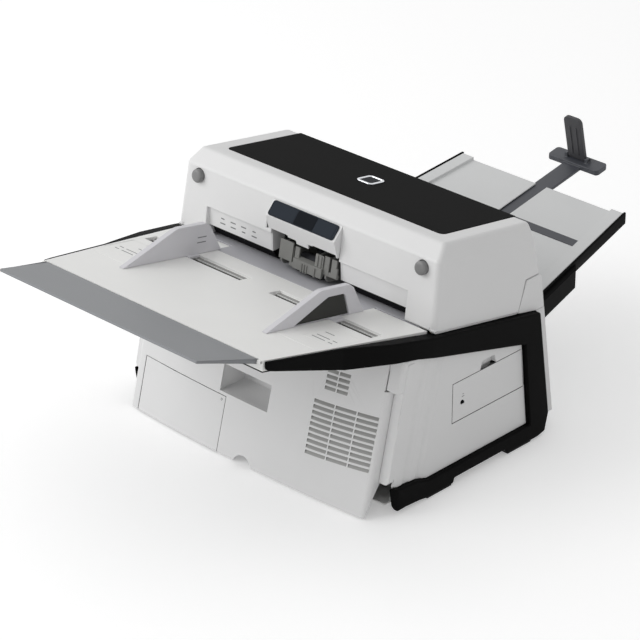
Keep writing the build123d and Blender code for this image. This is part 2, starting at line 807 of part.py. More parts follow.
def make_handle_pocket():
    """Liner of the grip recess, open to the front."""
    mouth = front_surface_y(POCKET_X, POCKET_BASE_Z + POCKET_HEIGHT) + WALL + FIT_GAP
    end = mouth + POCKET_DEPTH
    outer = pocket_zone(POCKET_WALL, mouth - 10, end)
    inner = pocket_zone(0, mouth - 12, end - POCKET_WALL)
    top = FRONT_TOP_Z
    behind = front_sheet(WALL + FIT_GAP, 80, 0, top)
    return (outer - inner) & behind


def side_panel_outline():
    """Outline that fills the opening of the side frame."""
    low = FRAME_BASE_TOP_Z + FIT_GAP
    column_low = back_y(FRAME_BASE_TOP_Z, BACK_STRIP + COLUMN_LOW_DEPTH) - FIT_GAP
    column_top = back_y(COLUMN_TOP_Z, BACK_STRIP + COLUMN_TOP_DEPTH) - FIT_GAP
    return [
        (TOE_Y + 1, TOE_Z + FIT_GAP),
        (TOE_Y + 16, TOE_Z - 7 + FIT_GAP),
        (TOE_Y + 47, TOE_Z - 9 + FIT_GAP),
        (TOE_Y + 68, low),
        (column_low, low),
        (column_top, COLUMN_TOP_Z - FIT_GAP),
        (ARM_SHOULDER_Y, bed_z(ARM_SHOULDER_Y, -ARM_SHOULDER_DEPTH - FIT_GAP)),
        (ARM_SHOULDER_Y - 12, bed_z(ARM_SHOULDER_Y - 12, -ARM_SHOULDER_DEPTH - FIT_GAP)),
    ]


def flute(number):
    """Soft upright hollow in the front part of the side panel."""
    z0 = FRAME_BASE_TOP_Z - 10
    z1 = NIP_Z
    y0 = side_front_y(z0, FLUTE_BACK_SET - FLUTE_SPACING * number)
    y1 = side_front_y(z1, FLUTE_BACK_SET - FLUTE_SPACING * number)
    x = PANEL_X - FLUTE_DEPTH + FLUTE_RADIUS
    start = Vector(x, y0, z0)
    run = Vector(0, y1 - y0, z1 - z0)
    plane = Plane(origin=start, z_dir=run.normalized())
    return extrude(plane * Circle(FLUTE_RADIUS), run.length)


def under_arm():
    """Room below the arm for the upper front of the side panel."""
    y0 = ARM_BELLY_Y
    y1 = ARM_SHOULDER_Y + 30
    drop = -ARM_SHOULDER_DEPTH - 1.5
    outline = [(y0, bed_z(y0, drop)), (y1, bed_z(y1, drop)), (y1, 0), (y0, 0)]
    return side_prism(outline, 0, PANEL_X)


def side_shoulder():
    """Block above the step of the front panel, part of the side panel."""
    low = FRONT_STEP_Z + 1.0
    high = FRONT_TOP_Z
    outline = [
        (front_y(low, 1.5), low), (side_front_y(low, PANEL_EDGE_DEPTH), low),
        (side_front_y(high, PANEL_EDGE_DEPTH), high), (front_y(high, 1.5), high),
    ]
    x0 = FRONT_HALF_WIDTH - FRONT_STEP_WIDTH + 0.6
    body = side_prism(outline, x0, PANEL_X - 1.5)
    edges = body.edges().filter_by(lambda edge: edge.center().X > PANEL_X - 2)
    return fillet(edges.sort_by(Axis.Y)[0], PANEL_EDGE_RADIUS - 1)


def make_side_panel():
    panel = side_prism(side_panel_outline(), PANEL_X - WALL, PANEL_X)
    low = TOE_Z + FIT_GAP
    high = NIP_Z - 25
    lip_x = FRONT_HALF_WIDTH + FIT_GAP
    front_edge = [
        (side_front_y(low, 1), low), (side_front_y(low, 1) + PANEL_EDGE_DEPTH, low),
        (side_front_y(high, 1) + PANEL_EDGE_DEPTH, high), (side_front_y(high, 1), high),
    ]
    lip = side_prism(front_edge, lip_x, PANEL_X)
    corner = lip.edges().filter_by(lambda edge: abs(edge.center().X - PANEL_X) < 0.01)
    lip = fillet(corner.sort_by(Axis.Y)[0], PANEL_EDGE_RADIUS)
    panel -= side_prism([(TOE_Y - 9, 0), (side_front_y(low, 1) + PANEL_EDGE_DEPTH, low),
                         (side_front_y(high, 1) + PANEL_EDGE_DEPTH, high), (TOE_Y - 9, high + 20)],
                        PANEL_X - WALL - 1, PANEL_X + 1)
    panel += lip & side_prism(side_panel_outline(), lip_x, PANEL_X)
    panel += side_shoulder() & under_arm()
    for number in range(2):
        panel -= flute(number)
    return panel


def side_door_outline(gap):
    """Outline of the access door in the right side panel."""
    low = SIDE_DOOR_BASE_Z + gap
    top = SIDE_DOOR_BASE_Z + SIDE_DOOR_HEIGHT - gap
    column_slope = (
        back_y(COLUMN_TOP_Z, COLUMN_TOP_DEPTH) - back_y(FRAME_BASE_TOP_Z, COLUMN_LOW_DEPTH)
    ) / (COLUMN_TOP_Z - FRAME_BASE_TOP_Z)
    column_low = back_y(FRAME_BASE_TOP_Z, BACK_STRIP + COLUMN_LOW_DEPTH)
    edge = [column_low + column_slope * (z - FRAME_BASE_TOP_Z) - 1.5 - gap for z in (low, top)]
    front = SIDE_DOOR_FRONT_Y + gap
    return [(front, low), (edge[0], low), (edge[1], top), (front, top)]


def notch_outline(gap):
    """Finger notch above the access door."""
    top = SIDE_DOOR_BASE_Z + SIDE_DOOR_HEIGHT
    return [
        (NOTCH_Y - NOTCH_WIDTH / 2 - gap, top - gap),
        (NOTCH_Y - NOTCH_WIDTH / 2 + 3 - gap, top + NOTCH_HEIGHT + gap),
        (NOTCH_Y + NOTCH_WIDTH / 2 - 3 + gap, top + NOTCH_HEIGHT + gap),
        (NOTCH_Y + NOTCH_WIDTH / 2 + gap, top - gap),
    ]


def side_door_axis():
    """Hinge line of the access door, as (x, z)."""
    return PANEL_X - WALL / 2, SIDE_DOOR_BASE_Z + DOOR_GAP + WALL / 2


def make_side_panel_right():
    panel = make_side_panel()
    panel -= side_prism(side_door_outline(0), PANEL_X - WALL - 1, PANEL_X + 1)
    cup_inner = side_prism(notch_outline(0), PANEL_X - NOTCH_DEPTH, PANEL_X + 1)
    cup_outer = side_prism(notch_outline(1.6), PANEL_X - NOTCH_DEPTH - 1.6, PANEL_X - WALL)
    below = block(
        PANEL_X - NOTCH_DEPTH - 5, PANEL_X + 5, NOTCH_Y - NOTCH_WIDTH, NOTCH_Y + NOTCH_WIDTH,
        SIDE_DOOR_BASE_Z, SIDE_DOOR_BASE_Z + SIDE_DOOR_HEIGHT,
    )
    panel += cup_outer - below
    return panel - cup_inner


def make_side_door():
    x, z = side_door_axis()
    outline = side_door_outline(DOOR_GAP)
    door = side_prism(outline, PANEL_X - WALL, PANEL_X)
    door &= block(PANEL_X - 10, PANEL_X + 10, -100, 300, z, z + SIDE_DOOR_HEIGHT)
    front = outline[0][0]
    back = outline[1][0]
    door += rod_y(WALL / 2, x, front, back, z)
    return door - rod_x(LOCK_RADIUS, PANEL_X - WALL - 1, PANEL_X + 1, LOCK_Y, LOCK_Z)


# Back cover and hinge covers


def back_sheet(inset, thickness, x0, x1, z0, z1):
    """Leaning sheet at the back between two heights."""
    outline = [
        (back_y(z0, inset), z0), (back_y(z1, inset), z1),
        (back_y(z1, inset + thickness), z1), (back_y(z0, inset + thickness), z0),
    ]
    return side_prism(outline, x0, x1)


def exit_base_z():
    """Lower lip of the paper exit."""
    y, z = bed_point(BED_END_S, -BED_THICKNESS)
    return z - 3.0


def port_opening(x, width, height):
    """Opening of a socket or switch through the back cover."""
    return block(x - width / 2, x + width / 2, HINGE_Y - BACK_STRIP, BEHIND_Y,
                 PORT_Z - height / 2, PORT_Z + height / 2)


def make_back_cover():
    half = COVER_BASE_HALF - 0.5
    top = FRAME_TOP_Z
    cover = back_sheet(0, WALL, -half, half, BACK_COVER_BASE_Z, top)
    strip = back_sheet(0, BACK_STRIP - FIT_GAP, half - WALL, half, BACK_COVER_BASE_Z, top)
    cover += strip + mirrored(strip)
    middle = block(-HINGE_COVER_INNER_X, HINGE_COVER_INNER_X, HINGE_Y - BACK_STRIP, BEHIND_Y,
                   exit_base_z(), top + BACK_STRIP)
    cover -= middle
    cover -= [
        port_opening(INLET_X, INLET_WIDTH, INLET_HEIGHT),
        port_opening(SWITCH_X, SWITCH_WIDTH, SWITCH_HEIGHT),
        port_opening(DATA_PORT_X, DATA_PORT_WIDTH, DATA_PORT_HEIGHT),
    ]
    for x, z in screw_places():
        cover -= rod_y(SCREW_RADIUS + RUNNING_FIT, x, HINGE_Y - BACK_STRIP, BEHIND_Y, z)
    return cover


def screw_places():
    """Screws of the back cover, as (x, z)."""
    return [(x, z) for x in (-SCREW_X, SCREW_X) for z in (SCREW_LOW_Z, SCREW_HIGH_Z)]


def make_case_screws():
    screws = []
    for x, z in screw_places():
        y = back_y(z - SCREW_HEAD_RADIUS) + FACE_GAP
        head = rod_y(SCREW_HEAD_RADIUS, x, y, y + 1.8, z)
        shank = rod_y(SCREW_RADIUS, x, y - SCREW_LENGTH, y, z)
        screws.append(head + shank)
    return screws


def hinge_cover_outline():
    """Outline of the fixed cover over one end of the hinge."""
    top = HINGE_Z + KNUCKLE_RADIUS
    low_z = FRAME_TOP_Z + FIT_GAP
    low_front = bed_z(SEAM_FOOT_Y, -RIM_FALL + FIT_GAP)
    return [
        (SEAM_FOOT_Y, low_front),
        (SEAM_TOP_Y, top),
        (HINGE_Y, top),
        (back_y(HINGE_Z), HINGE_Z),
        (back_y(low_z), low_z),
        (back_y(FRAME_TOP_Z, BACK_STRIP), low_z),
    ]


def make_hinge_cover():
    x0 = HINGE_COVER_INNER_X
    x1 = COVER_BASE_HALF - 0.5
    shell = side_prism(hinge_cover_outline(), x0, x1)
    room = [
        (SEAM_FOOT_Y + 3, FRAME_TOP_Z - 10), (SEAM_FOOT_Y + 3, bed_z(SEAM_FOOT_Y) + 4),
        (SEAM_TOP_Y + 2, HINGE_Z + 3), (HINGE_Y, HINGE_Z + 3),
        (back_y(HINGE_Z, 3), HINGE_Z), (back_y(FRAME_TOP_Z, 3), FRAME_TOP_Z - 10),
    ]
    shell -= side_prism(room, x0 + WALL, x1 - WALL)
    shell += rod_x(KNUCKLE_RADIUS, x0, x1, HINGE_Y, HINGE_Z)
    belt_x = -PULLEY_X + 1
    reach = PULLEY_RADIUS + FLANGE_RISE + 1
    belt_y, belt_z = shaft_stations()[-1]
    shell -= block(belt_x - PULLEY_WIDTH - 2, belt_x, SEAM_FOOT_Y - 5, belt_y + reach,
                   FRAME_TOP_Z, belt_z + reach)
    return shell - rod_x(HINGE_PIN_RADIUS + RUNNING_FIT, x0 - 1, x1 - 4, HINGE_Y, HINGE_Z)


def make_hinge_pins():
    x1 = COVER_BASE_HALF - 6
    pin = rod_x(HINGE_PIN_RADIUS, HINGE_COVER_INNER_X - 24, x1, HINGE_Y, HINGE_Z)
    return both_sides(pin)


# Feed tray


def tray_outline(inset):
    """Plan of the feed tray on the paper path, inside the two arms."""
    front = tray_front_s() + inset
    back = -2.0 - inset
    belly = (ARM_BELLY_Y - NIP_Y) / cos(radians(PATH_SLOPE_DEG))
    x_front = ARM_TIP_INNER_X - FIT_GAP - inset
    x_belly = ARM_BELLY_INNER_X - FIT_GAP - inset
    x_back = ARM_FULL_INNER_X - FIT_GAP - inset
    right = [(x_front, front), (x_belly, belly), (x_back, back)]
    return right + [(-x, s) for x, s in reversed(right)]


def tray_front_s():
    return (ARM_TIP_Y - NIP_Y) / cos(radians(PATH_SLOPE_DEG))


def flap_axis():
    """Hinge line of the flap on the paper path, as (s, n)."""
    radius = FLAP_THICKNESS / 2
    return tray_front_s() - radius - DOOR_GAP, -radius


def channel_cuts():
    cuts = []
    for sign in (-1, 1):
        x0 = sign * CHANNEL_INNER_X
        x1 = sign * CHANNEL_OUTER_X
        cuts.append(block(x0, x1, CHANNEL_S - CHANNEL_WIDTH / 2, CHANNEL_S + CHANNEL_WIDTH / 2,
                          -CHANNEL_DEPTH, 5))
        cuts.append(block(x0, x1, CHANNEL_S - STEM_SLOT / 2, CHANNEL_S + STEM_SLOT / 2,
                          -TRAY_DECK - 5, 5))
    return cuts


def path_s(y):
    """Place along the paper path of a place along the machine."""
    return (y - NIP_Y) / cos(radians(PATH_SLOPE_DEG))


def deck_lines():
    """Seams and shallow label fields in the deck."""
    seam = path_s(SEAM_LINE_Y)
    slot = CHANNEL_S - CHANNEL_WIDTH / 2 - 4
    half = SEAM_LINE_WIDTH / 2
    cuts = [
        block(120, 180, seam - half, seam + half, -SEAM_LINE_DEPTH, 5),
        block(126, 168, slot - half, slot + half, -SEAM_LINE_DEPTH, 5),
        block(LABEL_INNER_X, LABEL_INNER_X + LABEL_WIDTH,
              path_s(LABEL_FRONT_Y), path_s(LABEL_BACK_Y), -LABEL_DEPTH, 5),
    ]
    return cuts + [mirrored(cut) for cut in cuts]


def make_feed_tray():
    tray = plan_prism(tray_outline(0), -TRAY_DEPTH, 0)
    tray -= plan_prism(tray_outline(TRAY_WALL), -TRAY_DEPTH - 5, -TRAY_DECK)
    tray -= channel_cuts() + deck_lines()
    entry = ENTRY_HALF + FIT_GAP
    tray -= block(-entry, entry, ENTRY_S - FIT_GAP, 5, -TRAY_DEPTH - 5, 5)
    stud = Pos(0, CHANNEL_S, -TRAY_DEPTH / 2) * Cylinder(3, TRAY_DEPTH)
    tray += stud
    s, n = flap_axis()
    ear = block(FLAP_BACK_HALF + FIT_GAP, ARM_TIP_INNER_X - FIT_GAP - 0.5,
                s - FLAP_THICKNESS / 2, tray_front_s() + 1, -FLAP_THICKNESS, 0)
    ear -= rod_x(FLAP_PIN_RADIUS + RUNNING_FIT, FLAP_BACK_HALF - 2, HALF, s, n)
    tray += ear + mirrored(ear)
    return BED.location * tray


def make_tray_pan():
    pan = plan_prism(tray_outline(0), -TRAY_DEPTH - PAN_THICKNESS - FACE_GAP, -TRAY_DEPTH - FACE_GAP)
    return BED.location * pan


def make_tray_flap():
    """Flap that carries long sheets, hinged at the front of the tray."""
    s, n = flap_axis()
    radius = FLAP_THICKNESS / 2
    outline = [
        (FLAP_BACK_HALF, 0), (-FLAP_BACK_HALF, 0),
        (-FLAP_FRONT_HALF, -FLAP_LENGTH), (FLAP_FRONT_HALF, -FLAP_LENGTH),
    ]
    plate = plan_prism(outline, -radius, radius)
    wedge = side_prism(
        [(5, radius + 1), (-FLAP_LENGTH - 5, radius + 1), (-FLAP_LENGTH - 5, radius),
         (0, radius), (5, radius)], -WIDTH, WIDTH)
    under = side_prism(
        [(0, -radius), (-FLAP_LENGTH - 5, FLAP_THICKNESS / 2 - FLAP_TIP_THICKNESS),
         (-FLAP_LENGTH - 5, -radius - 5), (0, -radius - 5)], -WIDTH, WIDTH)
    plate = plate - wedge - under
    plate += rod_x(radius, -FLAP_BACK_HALF, FLAP_BACK_HALF, 0, 0)
    plate += rod_x(FLAP_PIN_RADIUS, -FLAP_BACK_HALF - 4, FLAP_BACK_HALF + 4, 0, 0)
    return BED.location * Pos(0, s, n) * Rot(-FLAP_RISE_DEG, 0, 0) * plate


def guide_points(points):
    """Points given as shares of a guide's length and height, as (s, n)."""
    return [(GUIDE_FRONT_S + s * GUIDE_LENGTH, n * GUIDE_HEIGHT) for s, n in points]


def guide_profile():
    """Fin of a paper guide along the path."""
    foot = FIT_GAP / GUIDE_HEIGHT
    return guide_points([
        (0, foot), (0.497, 0.97), (0.53, 1.0), (0.812, 1.0), (0.857, 0.88), (1.0, foot),
    ])


def insert_outline():
    """Dark insert on the outer face of a guide, down to its foot."""
    foot = (2 * FIT_GAP + SHOE_RISE) / GUIDE_HEIGHT
    return guide_points([
        (0.275, foot), (0.56, 0.66), (0.6, 0.74), (0.755, 0.74), (0.775, 0.68), (0.845, foot),
    ])


def rack_teeth(x0, x1, side, phase):
    """Teeth of a rack that faces the pinion at x = 0."""
    pitch = pi * GEAR_MODULE
    half = TOOTH_SHARE * pitch / 2
    slope = 0.25 * GEAR_MODULE
    base = PITCH_RADIUS + 1.1 * GEAR_MODULE
    tip = PITCH_RADIUS - 0.85 * GEAR_MODULE
    teeth = []
    for number in range(ceil(x0 / pitch), floor(x1 / pitch) + 1):
        x = (number + phase) * pitch
        points = [
            (x - half - slope, side * base), (x - half + slope, side * tip),
            (x + half - slope, side * tip), (x + half + slope, side * base),
        ]
        teeth.append(plan_prism(points, RACK_LOW_N, RACK_TOP_N))
    return teeth


def make_guide():
    """Right guide: fin, foot in the channel, stem, and rack under the deck."""
    face = GUIDE_FACE_X
    fin = side_prism(guide_profile(), face, face + GUIDE_THICKNESS)
    fin -= side_prism(insert_outline(), face + GUIDE_THICKNESS - INSERT_RECESS, HALF)
    half = CHANNEL_WIDTH / 2 - FIT_GAP
    shoe = block(face - 4, face + GUIDE_SHOE_WIDTH, CHANNEL_S - half, CHANNEL_S + half,
                 FIT_GAP - CHANNEL_DEPTH, FIT_GAP + SHOE_RISE)
    stem = block(face, face + 10, CHANNEL_S - STEM_SLOT / 2 + FIT_GAP,
                 CHANNEL_S + STEM_SLOT / 2 - FIT_GAP, RACK_LOW_N, FIT_GAP)
    rack_edge = PITCH_RADIUS + 1.1 * GEAR_MODULE
    bracket = block(face, face + 10, CHANNEL_S, CHANNEL_S + rack_edge + RACK_BACK,
                    RACK_LOW_N, RACK_TOP_N)
    start = -GUIDE_TRAVEL_OUT - RACK_SPARE
    bar = block(start, face + 10, rack_edge - 0.1, rack_edge + RACK_BACK, RACK_LOW_N, RACK_TOP_N)
    bar += rack_teeth(start + 4, GUIDE_TRAVEL_IN + 6, 1, 0.5)
    bar = Pos(0, CHANNEL_S, 0) * bar
    return fin + shoe + stem + bracket + bar


def make_guides():
    """Right guide, and the left one turned half a turn under the deck."""
    right = make_guide()
    left = mirrored(make_left_source())
    return BED.location * right, BED.location * left


def make_left_source():
    """Left guide in mirrored form, with its rack in front of the pinion."""
    face = GUIDE_FACE_X
    whole = make_guide()
    keep = block(-HALF, HALF, 2 * GUIDE_FRONT_S, GUIDE_LENGTH, RACK_TOP_N + 0.01, GUIDE_LENGTH)
    upper = whole & keep
    stem = block(face, face + 10, CHANNEL_S - STEM_SLOT / 2 + FIT_GAP,
                 CHANNEL_S + STEM_SLOT / 2 - FIT_GAP, RACK_LOW_N, RACK_TOP_N + 0.5)
    rack_edge = PITCH_RADIUS + 1.1 * GEAR_MODULE
    bracket = block(face, face + 10, CHANNEL_S - rack_edge - RACK_BACK, CHANNEL_S,
                    RACK_LOW_N, RACK_TOP_N)
    start = -GUIDE_TRAVEL_OUT - RACK_SPARE
    bar = block(start, face + 10, -rack_edge - RACK_BACK, 0.1 - rack_edge, RACK_LOW_N, RACK_TOP_N)
    bar += rack_teeth(start + 4, GUIDE_TRAVEL_IN + 6, -1, 0.5)
    return upper + stem + bracket + Pos(0, CHANNEL_S, 0) * bar


def make_guide_insert():
    floor_x = GUIDE_FACE_X + GUIDE_THICKNESS - INSERT_RECESS
    outline = make_face(Polyline(*insert_outline(), close=True))
    outline = offset(outline, -FIT_GAP / 2)
    return extrude(Plane.YZ.offset(floor_x) * outline, INSERT_THICKNESS)


def make_guide_pinion():
    pitch_angle = 360 / PINION_TEETH
    root = PITCH_RADIUS - 1.1 * GEAR_MODULE
    tip = PITCH_RADIUS + 0.85 * GEAR_MODULE
    half = TOOTH_SHARE * pi * GEAR_MODULE / 2
    slope = 0.25 * GEAR_MODULE
    gear = Cylinder(root, RACK_HEIGHT)
    tooth = plan_prism(
        [(root - 0.5, -half - slope), (tip, -half + slope), (tip, half - slope),
         (root - 0.5, half + slope)], -RACK_HEIGHT / 2, RACK_HEIGHT / 2)
    for number in range(PINION_TEETH):
        gear += Rot(0, 0, 90 + number * pitch_angle) * tooth
    gear -= Cylinder(3 + RUNNING_FIT, RACK_HEIGHT + 2)
    middle = (RACK_LOW_N + RACK_TOP_N) / 2
    return BED.location * Pos(0, CHANNEL_S, middle) * gear


# Paper drive


def hinge_zone_s():
    """Start of the fixed hinge covers along the path."""
    return (SEAM_FOOT_Y - NIP_Y) / cos(radians(PATH_SLOPE_DEG))


def tyre_places():
    return [TYRE_SPACING * (number - 1.5) for number in range(4)]


def window_cuts(width, s, half_depth):
    """Windows for the tyres of one shaft in a paper guide."""
    cuts = []
    for x in tyre_places():
        cuts.append(block(x - width / 2, x + width / 2, s - half_depth, s + half_depth, -10, 10))
    return cuts


def glass_cut(gap):
    return block(
        -GLASS_LENGTH / 2 - gap, GLASS_LENGTH / 2 + gap,
        SCAN_S - GLASS_WIDTH / 2 - gap, SCAN_S + GLASS_WIDTH / 2 + gap, -10, 10,
    )


def make_transport_bed():
    bed = block(-PLATE_X - 1, PLATE_X + 1, 1.5, BED_END_S, -BED_THICKNESS, 0)
    bed += block(-ENTRY_HALF, ENTRY_HALF, ENTRY_S, 2, -BED_THICKNESS, 0)
    bed -= block(-TYRE_WIDTH, TYRE_WIDTH, FEED_ROLLER_S - 13, FEED_ROLLER_S + 13, -10, 10)
    bed -= window_cuts(TYRE_WIDTH + 4, FRONT_DRIVE_S, DRIVE_ROLLER_RADIUS + 0.5)
    bed -= window_cuts(TYRE_WIDTH + 4, BACK_DRIVE_S, DRIVE_ROLLER_RADIUS + 0.5)
    bed -= glass_cut(FIT_GAP)
    back_s = hinge_zone_s() - 4
    side = block(HINGE_COVER_INNER_X - 0.5, HALF, back_s, BED_END_S + 5, -10, 10)
    bed -= side + mirrored(side)
    return BED.location * bed


def make_lower_glass():
    glass = glass_cut(0) & block(-HALF, HALF, 0, BED_END_S, -GLASS_THICKNESS - FACE_GAP, -FACE_GAP)
    return BED.location * glass


def sensor_box(n0, n1):
    return block(
        -SENSOR_LENGTH / 2, SENSOR_LENGTH / 2,
        SCAN_S - SENSOR_WIDTH / 2, SCAN_S + SENSOR_WIDTH / 2, n0, n1,
    )


def make_lower_sensor():
    top = -BED_THICKNESS - FACE_GAP
    return BED.location * sensor_box(top - SENSOR_HEIGHT, top)


def belt_pulley(y, z):
    """Pulley with a flange on its inner side."""
    end = PULLEY_X + PULLEY_WIDTH
    pulley = rod_x(PULLEY_RADIUS, PULLEY_X, end, y, z)
    return pulley + rod_x(PULLEY_RADIUS + FLANGE_RISE, end - FLANGE_WIDTH, end, y, z)


def driven_roller(s, n, tyre_radius, tyres, tyre_width):
    """Shaft with rubber tyres and its belt pulley."""
    end = PLATE_X + PLATE_THICKNESS + 2
    shaft = rod_x(SHAFT_RADIUS, PULLEY_X - 1, end, s, n)
    solids = []
    bore = rod_x(SHAFT_RADIUS, -HALF, HALF, s, n)
    for x in tyres:
        solids.append(rod_x(tyre_radius, x - tyre_width / 2, x + tyre_width / 2, s, n) - bore)
    solids.append(belt_pulley(s, n) - bore)
    return [BED.location * solid for solid in [shaft] + solids]


def make_feed_roller():
    tyres = [-TYRE_WIDTH / 2, TYRE_WIDTH / 2]
    return driven_roller(FEED_ROLLER_S, FEED_AXIS_N, FEED_ROLLER_RADIUS, tyres, TYRE_WIDTH - 6)


def make_drive_roller(s):
    return driven_roller(s, DRIVE_AXIS_N, DRIVE_ROLLER_RADIUS, tyre_places(), TYRE_WIDTH)


def make_motor():
    x1 = -PLATE_X + FACE_GAP
    can = rod_x(MOTOR_RADIUS, x1, x1 + MOTOR_LENGTH, MOTOR_Y, MOTOR_Z)
    can -= rod_x(3.5, x1 - 1, x1 + 12, MOTOR_Y, MOTOR_Z)
    return can


def make_motor_pulley():
    shaft = rod_x(3.0, PULLEY_X - 1, -PLATE_X + 10, MOTOR_Y, MOTOR_Z)
    return shaft + belt_pulley(MOTOR_Y, MOTOR_Z)


def belt_hull(radius):
    circles = [Pos(y, z) * Circle(radius) for y, z in shaft_stations() + [(MOTOR_Y, MOTOR_Z)]]
    edges = [circle.edge() for circle in circles]
    return make_hull(edges)


def make_drive_belt():
    inner = PULLEY_RADIUS + FIT_GAP
    ring = belt_hull(inner + BELT_THICKNESS) - belt_hull(inner)
    width = PULLEY_WIDTH - FLANGE_WIDTH - 2 * FIT_GAP
    return extrude(Plane.YZ.offset(PULLEY_X + FIT_GAP) * ring, width)


# Cover that lifts


def cover_top_z(y):
    return COVER_TOP_FRONT_Z - tan(radians(COVER_TOP_SLOPE_DEG)) * (y - COVER_TOP_FRONT_Y)


def where_back_meets(level, slope):
    """Place where the back face crosses a line that falls from a level at y = 0."""
    return (BACK_FOOT_Y - BACK_LEAN * level) / (1 - BACK_LEAN * slope)


def cover_side_outline():
    """Cover seen from the side."""
    base_back_y = where_back_meets(bed_z(0), PATH_SLOPE)
    top_back_y = where_back_meets(cover_top_z(0), tan(radians(COVER_TOP_SLOPE_DEG)))
    low = bed_z(NIP_Y, COVER_GAP)
    return [
        (cover_front_y(low), low),
        (cover_front_y(COVER_CREASE_Z), COVER_CREASE_Z),
        (COVER_TOP_FRONT_Y, COVER_TOP_FRONT_Z),
        (top_back_y, cover_top_z(top_back_y)),
        (base_back_y, bed_z(base_back_y, COVER_GAP)),
    ]


def cover_form(inset, radius):
    """Convex body of the cover, inset all round."""
    side_face = make_face(Polyline(*cover_side_outline(), close=True))
    lean = tan(radians(COVER_SIDE_LEAN_DEG))
    crease_z = COVER_CREASE_Z - 3
    low_z = 120.0
    crease_x = COVER_BASE_HALF - lean * (crease_z - NIP_Z)
    low_x = COVER_BASE_HALF + lean * (NIP_Z - low_z)
    shoulder_x = crease_x - 2 * COVER_SHOULDER_RUN
    shoulder_z = crease_z + 2 * COVER_SHOULDER_RISE
    front_face = make_face(Polyline(
        (-low_x, low_z), (low_x, low_z), (crease_x, crease_z), (shoulder_x, shoulder_z),
        (-shoulder_x, shoulder_z), (-crease_x, crease_z), close=True))
    if inset:
        side_face = offset(side_face, -inset, kind=Kind.INTERSECTION)
        front_face = offset(front_face, -inset, kind=Kind.INTERSECTION)
    across = extrude(Plane.YZ.offset(-HALF) * side_face, WIDTH)
    fall = Vector(0, 1, -tan(radians(COVER_TOP_SLOPE_DEG + 0.4)))
    plane = Plane(origin=(0, 0, 0), x_dir=(1, 0, 0), z_dir=(0, -1, 0))
    along = extrude(plane * front_face, 420, dir=fall)
    along = Pos(0, -fall.Y * 60, -fall.Z * 60) * along
    body = across & along
    if radius:
        low_edges = body.faces().sort_by(Axis.Z)[0].edges()
        edges = [edge for edge in body.edges() if edge not in low_edges]
        body = fillet(edges, radius)
    return body


def below_path(y0, y1, depth):
    """Block under the cover's lower face, used to open it."""
    outline = [
        (y0, bed_z(y0, COVER_GAP + WALL + 3)), (y1, bed_z(y1, COVER_GAP + WALL + 3)),
        (y1, bed_z(y1, -depth)), (y0, bed_z(y0, -depth)),
    ]
    return outline


def cover_cavity():
    """Room inside the cover, open below."""
    room = cover_form(WALL, 0)
    front = cover_front_y(NIP_Z) + WALL / cos(radians(COVER_LEAN_DEG))
    back = where_back_meets(bed_z(0), PATH_SLOPE) - WALL * 1.2
    half = COVER_BASE_HALF - WALL - 0.2
    skirt = side_prism(below_path(front, back, 12), -half, half)
    return room + skirt


def chute_wall():
    """Inclined lead-in between a leg and the mouth of the pick unit."""
    face_y = cover_front_y(CHUTE_TOP_Z)
    top_y = face_y + CHUTE_STEP
    base_y = cover_front_y(CHUTE_BASE_Z) + CHUTE_DEPTH
    ledge_z = CHUTE_TOP_Z + WALL
    outline = [
        (face_y + 0.2, CHUTE_TOP_Z), (top_y, CHUTE_TOP_Z), (base_y, CHUTE_BASE_Z),
        (base_y + WALL, CHUTE_BASE_Z + 1), (top_y + WALL, ledge_z), (face_y + 0.6, ledge_z),
    ]
    return side_prism(outline, MOUTH_HALF, LEG_INNER_X + 0.5)


def leg_web():
    """Inner wall of the right leg beside the feed slot."""
    low = bed_z(NIP_Y, COVER_GAP)
    outline = [
        (cover_front_y(low) + 0.1, low), (cover_front_y(CHUTE_TOP_Z) + 0.1, CHUTE_TOP_Z),
        (cover_front_y(CHUTE_TOP_Z) + 30, CHUTE_TOP_Z), (14, bed_z(14, COVER_GAP)),
    ]
    return side_prism(outline, LEG_INNER_X, LEG_INNER_X + WALL)


def mouth_frame():
    """Walls of the opening for the pick unit."""
    top = MOUTH_TOP_Z
    outline = [
        (cover_front_y(CHUTE_BASE_Z) + CHUTE_DEPTH, CHUTE_BASE_Z),
        (cover_front_y(top) + 0.2, top),
        (cover_front_y(top) + 22, top),
        (cover_front_y(CHUTE_BASE_Z) + 28, CHUTE_BASE_Z),
    ]
    return side_prism(outline, MOUTH_HALF, MOUTH_HALF + WALL)


def cover_skirt():
    """Lower edge of the right cover side, run down onto the black arm."""
    y0 = cover_front_y(bed_z(NIP_Y))
    y1 = SEAM_FOOT_Y - SEAM_GAP
    outline = [
        (y0, bed_z(y0, COVER_GAP + 1)), (y1, bed_z(y1, COVER_GAP + 1)),
        (y1, bed_z(y1, -COVER_SKIRT)), (y0 + 3, bed_z(y0 + 3, -COVER_SKIRT)),
        (y0 + 0.8, bed_z(y0 + 0.8, 1 - COVER_SKIRT)),
    ]
    outer = COVER_BASE_HALF - 0.2
    edge = side_prism(outline, outer - WALL, outer)
    front = block(FRAME_INNER_X + FIT_GAP, outer, y0, y0 + WALL, 0, HALF * 2)
    return edge + (side_prism(outline, FRAME_INNER_X, outer) & front)


def hinge_relief():
    """Room in the cover for the fixed hinge cover on the right."""
    top = HINGE_Z + KNUCKLE_RADIUS + SEAM_GAP
    low = bed_z(SEAM_FOOT_Y, -20)
    outline = [
        (SEAM_FOOT_Y - SEAM_GAP - 7, low),
        (SEAM_FOOT_Y - SEAM_GAP, bed_z(SEAM_FOOT_Y)),
        (SEAM_TOP_Y - SEAM_GAP, top),
        (BACK_FOOT_Y + 20, top),
        (BACK_FOOT_Y + 20, low),
    ]
    return side_prism(outline, HINGE_COVER_INNER_X - SEAM_GAP, HALF)


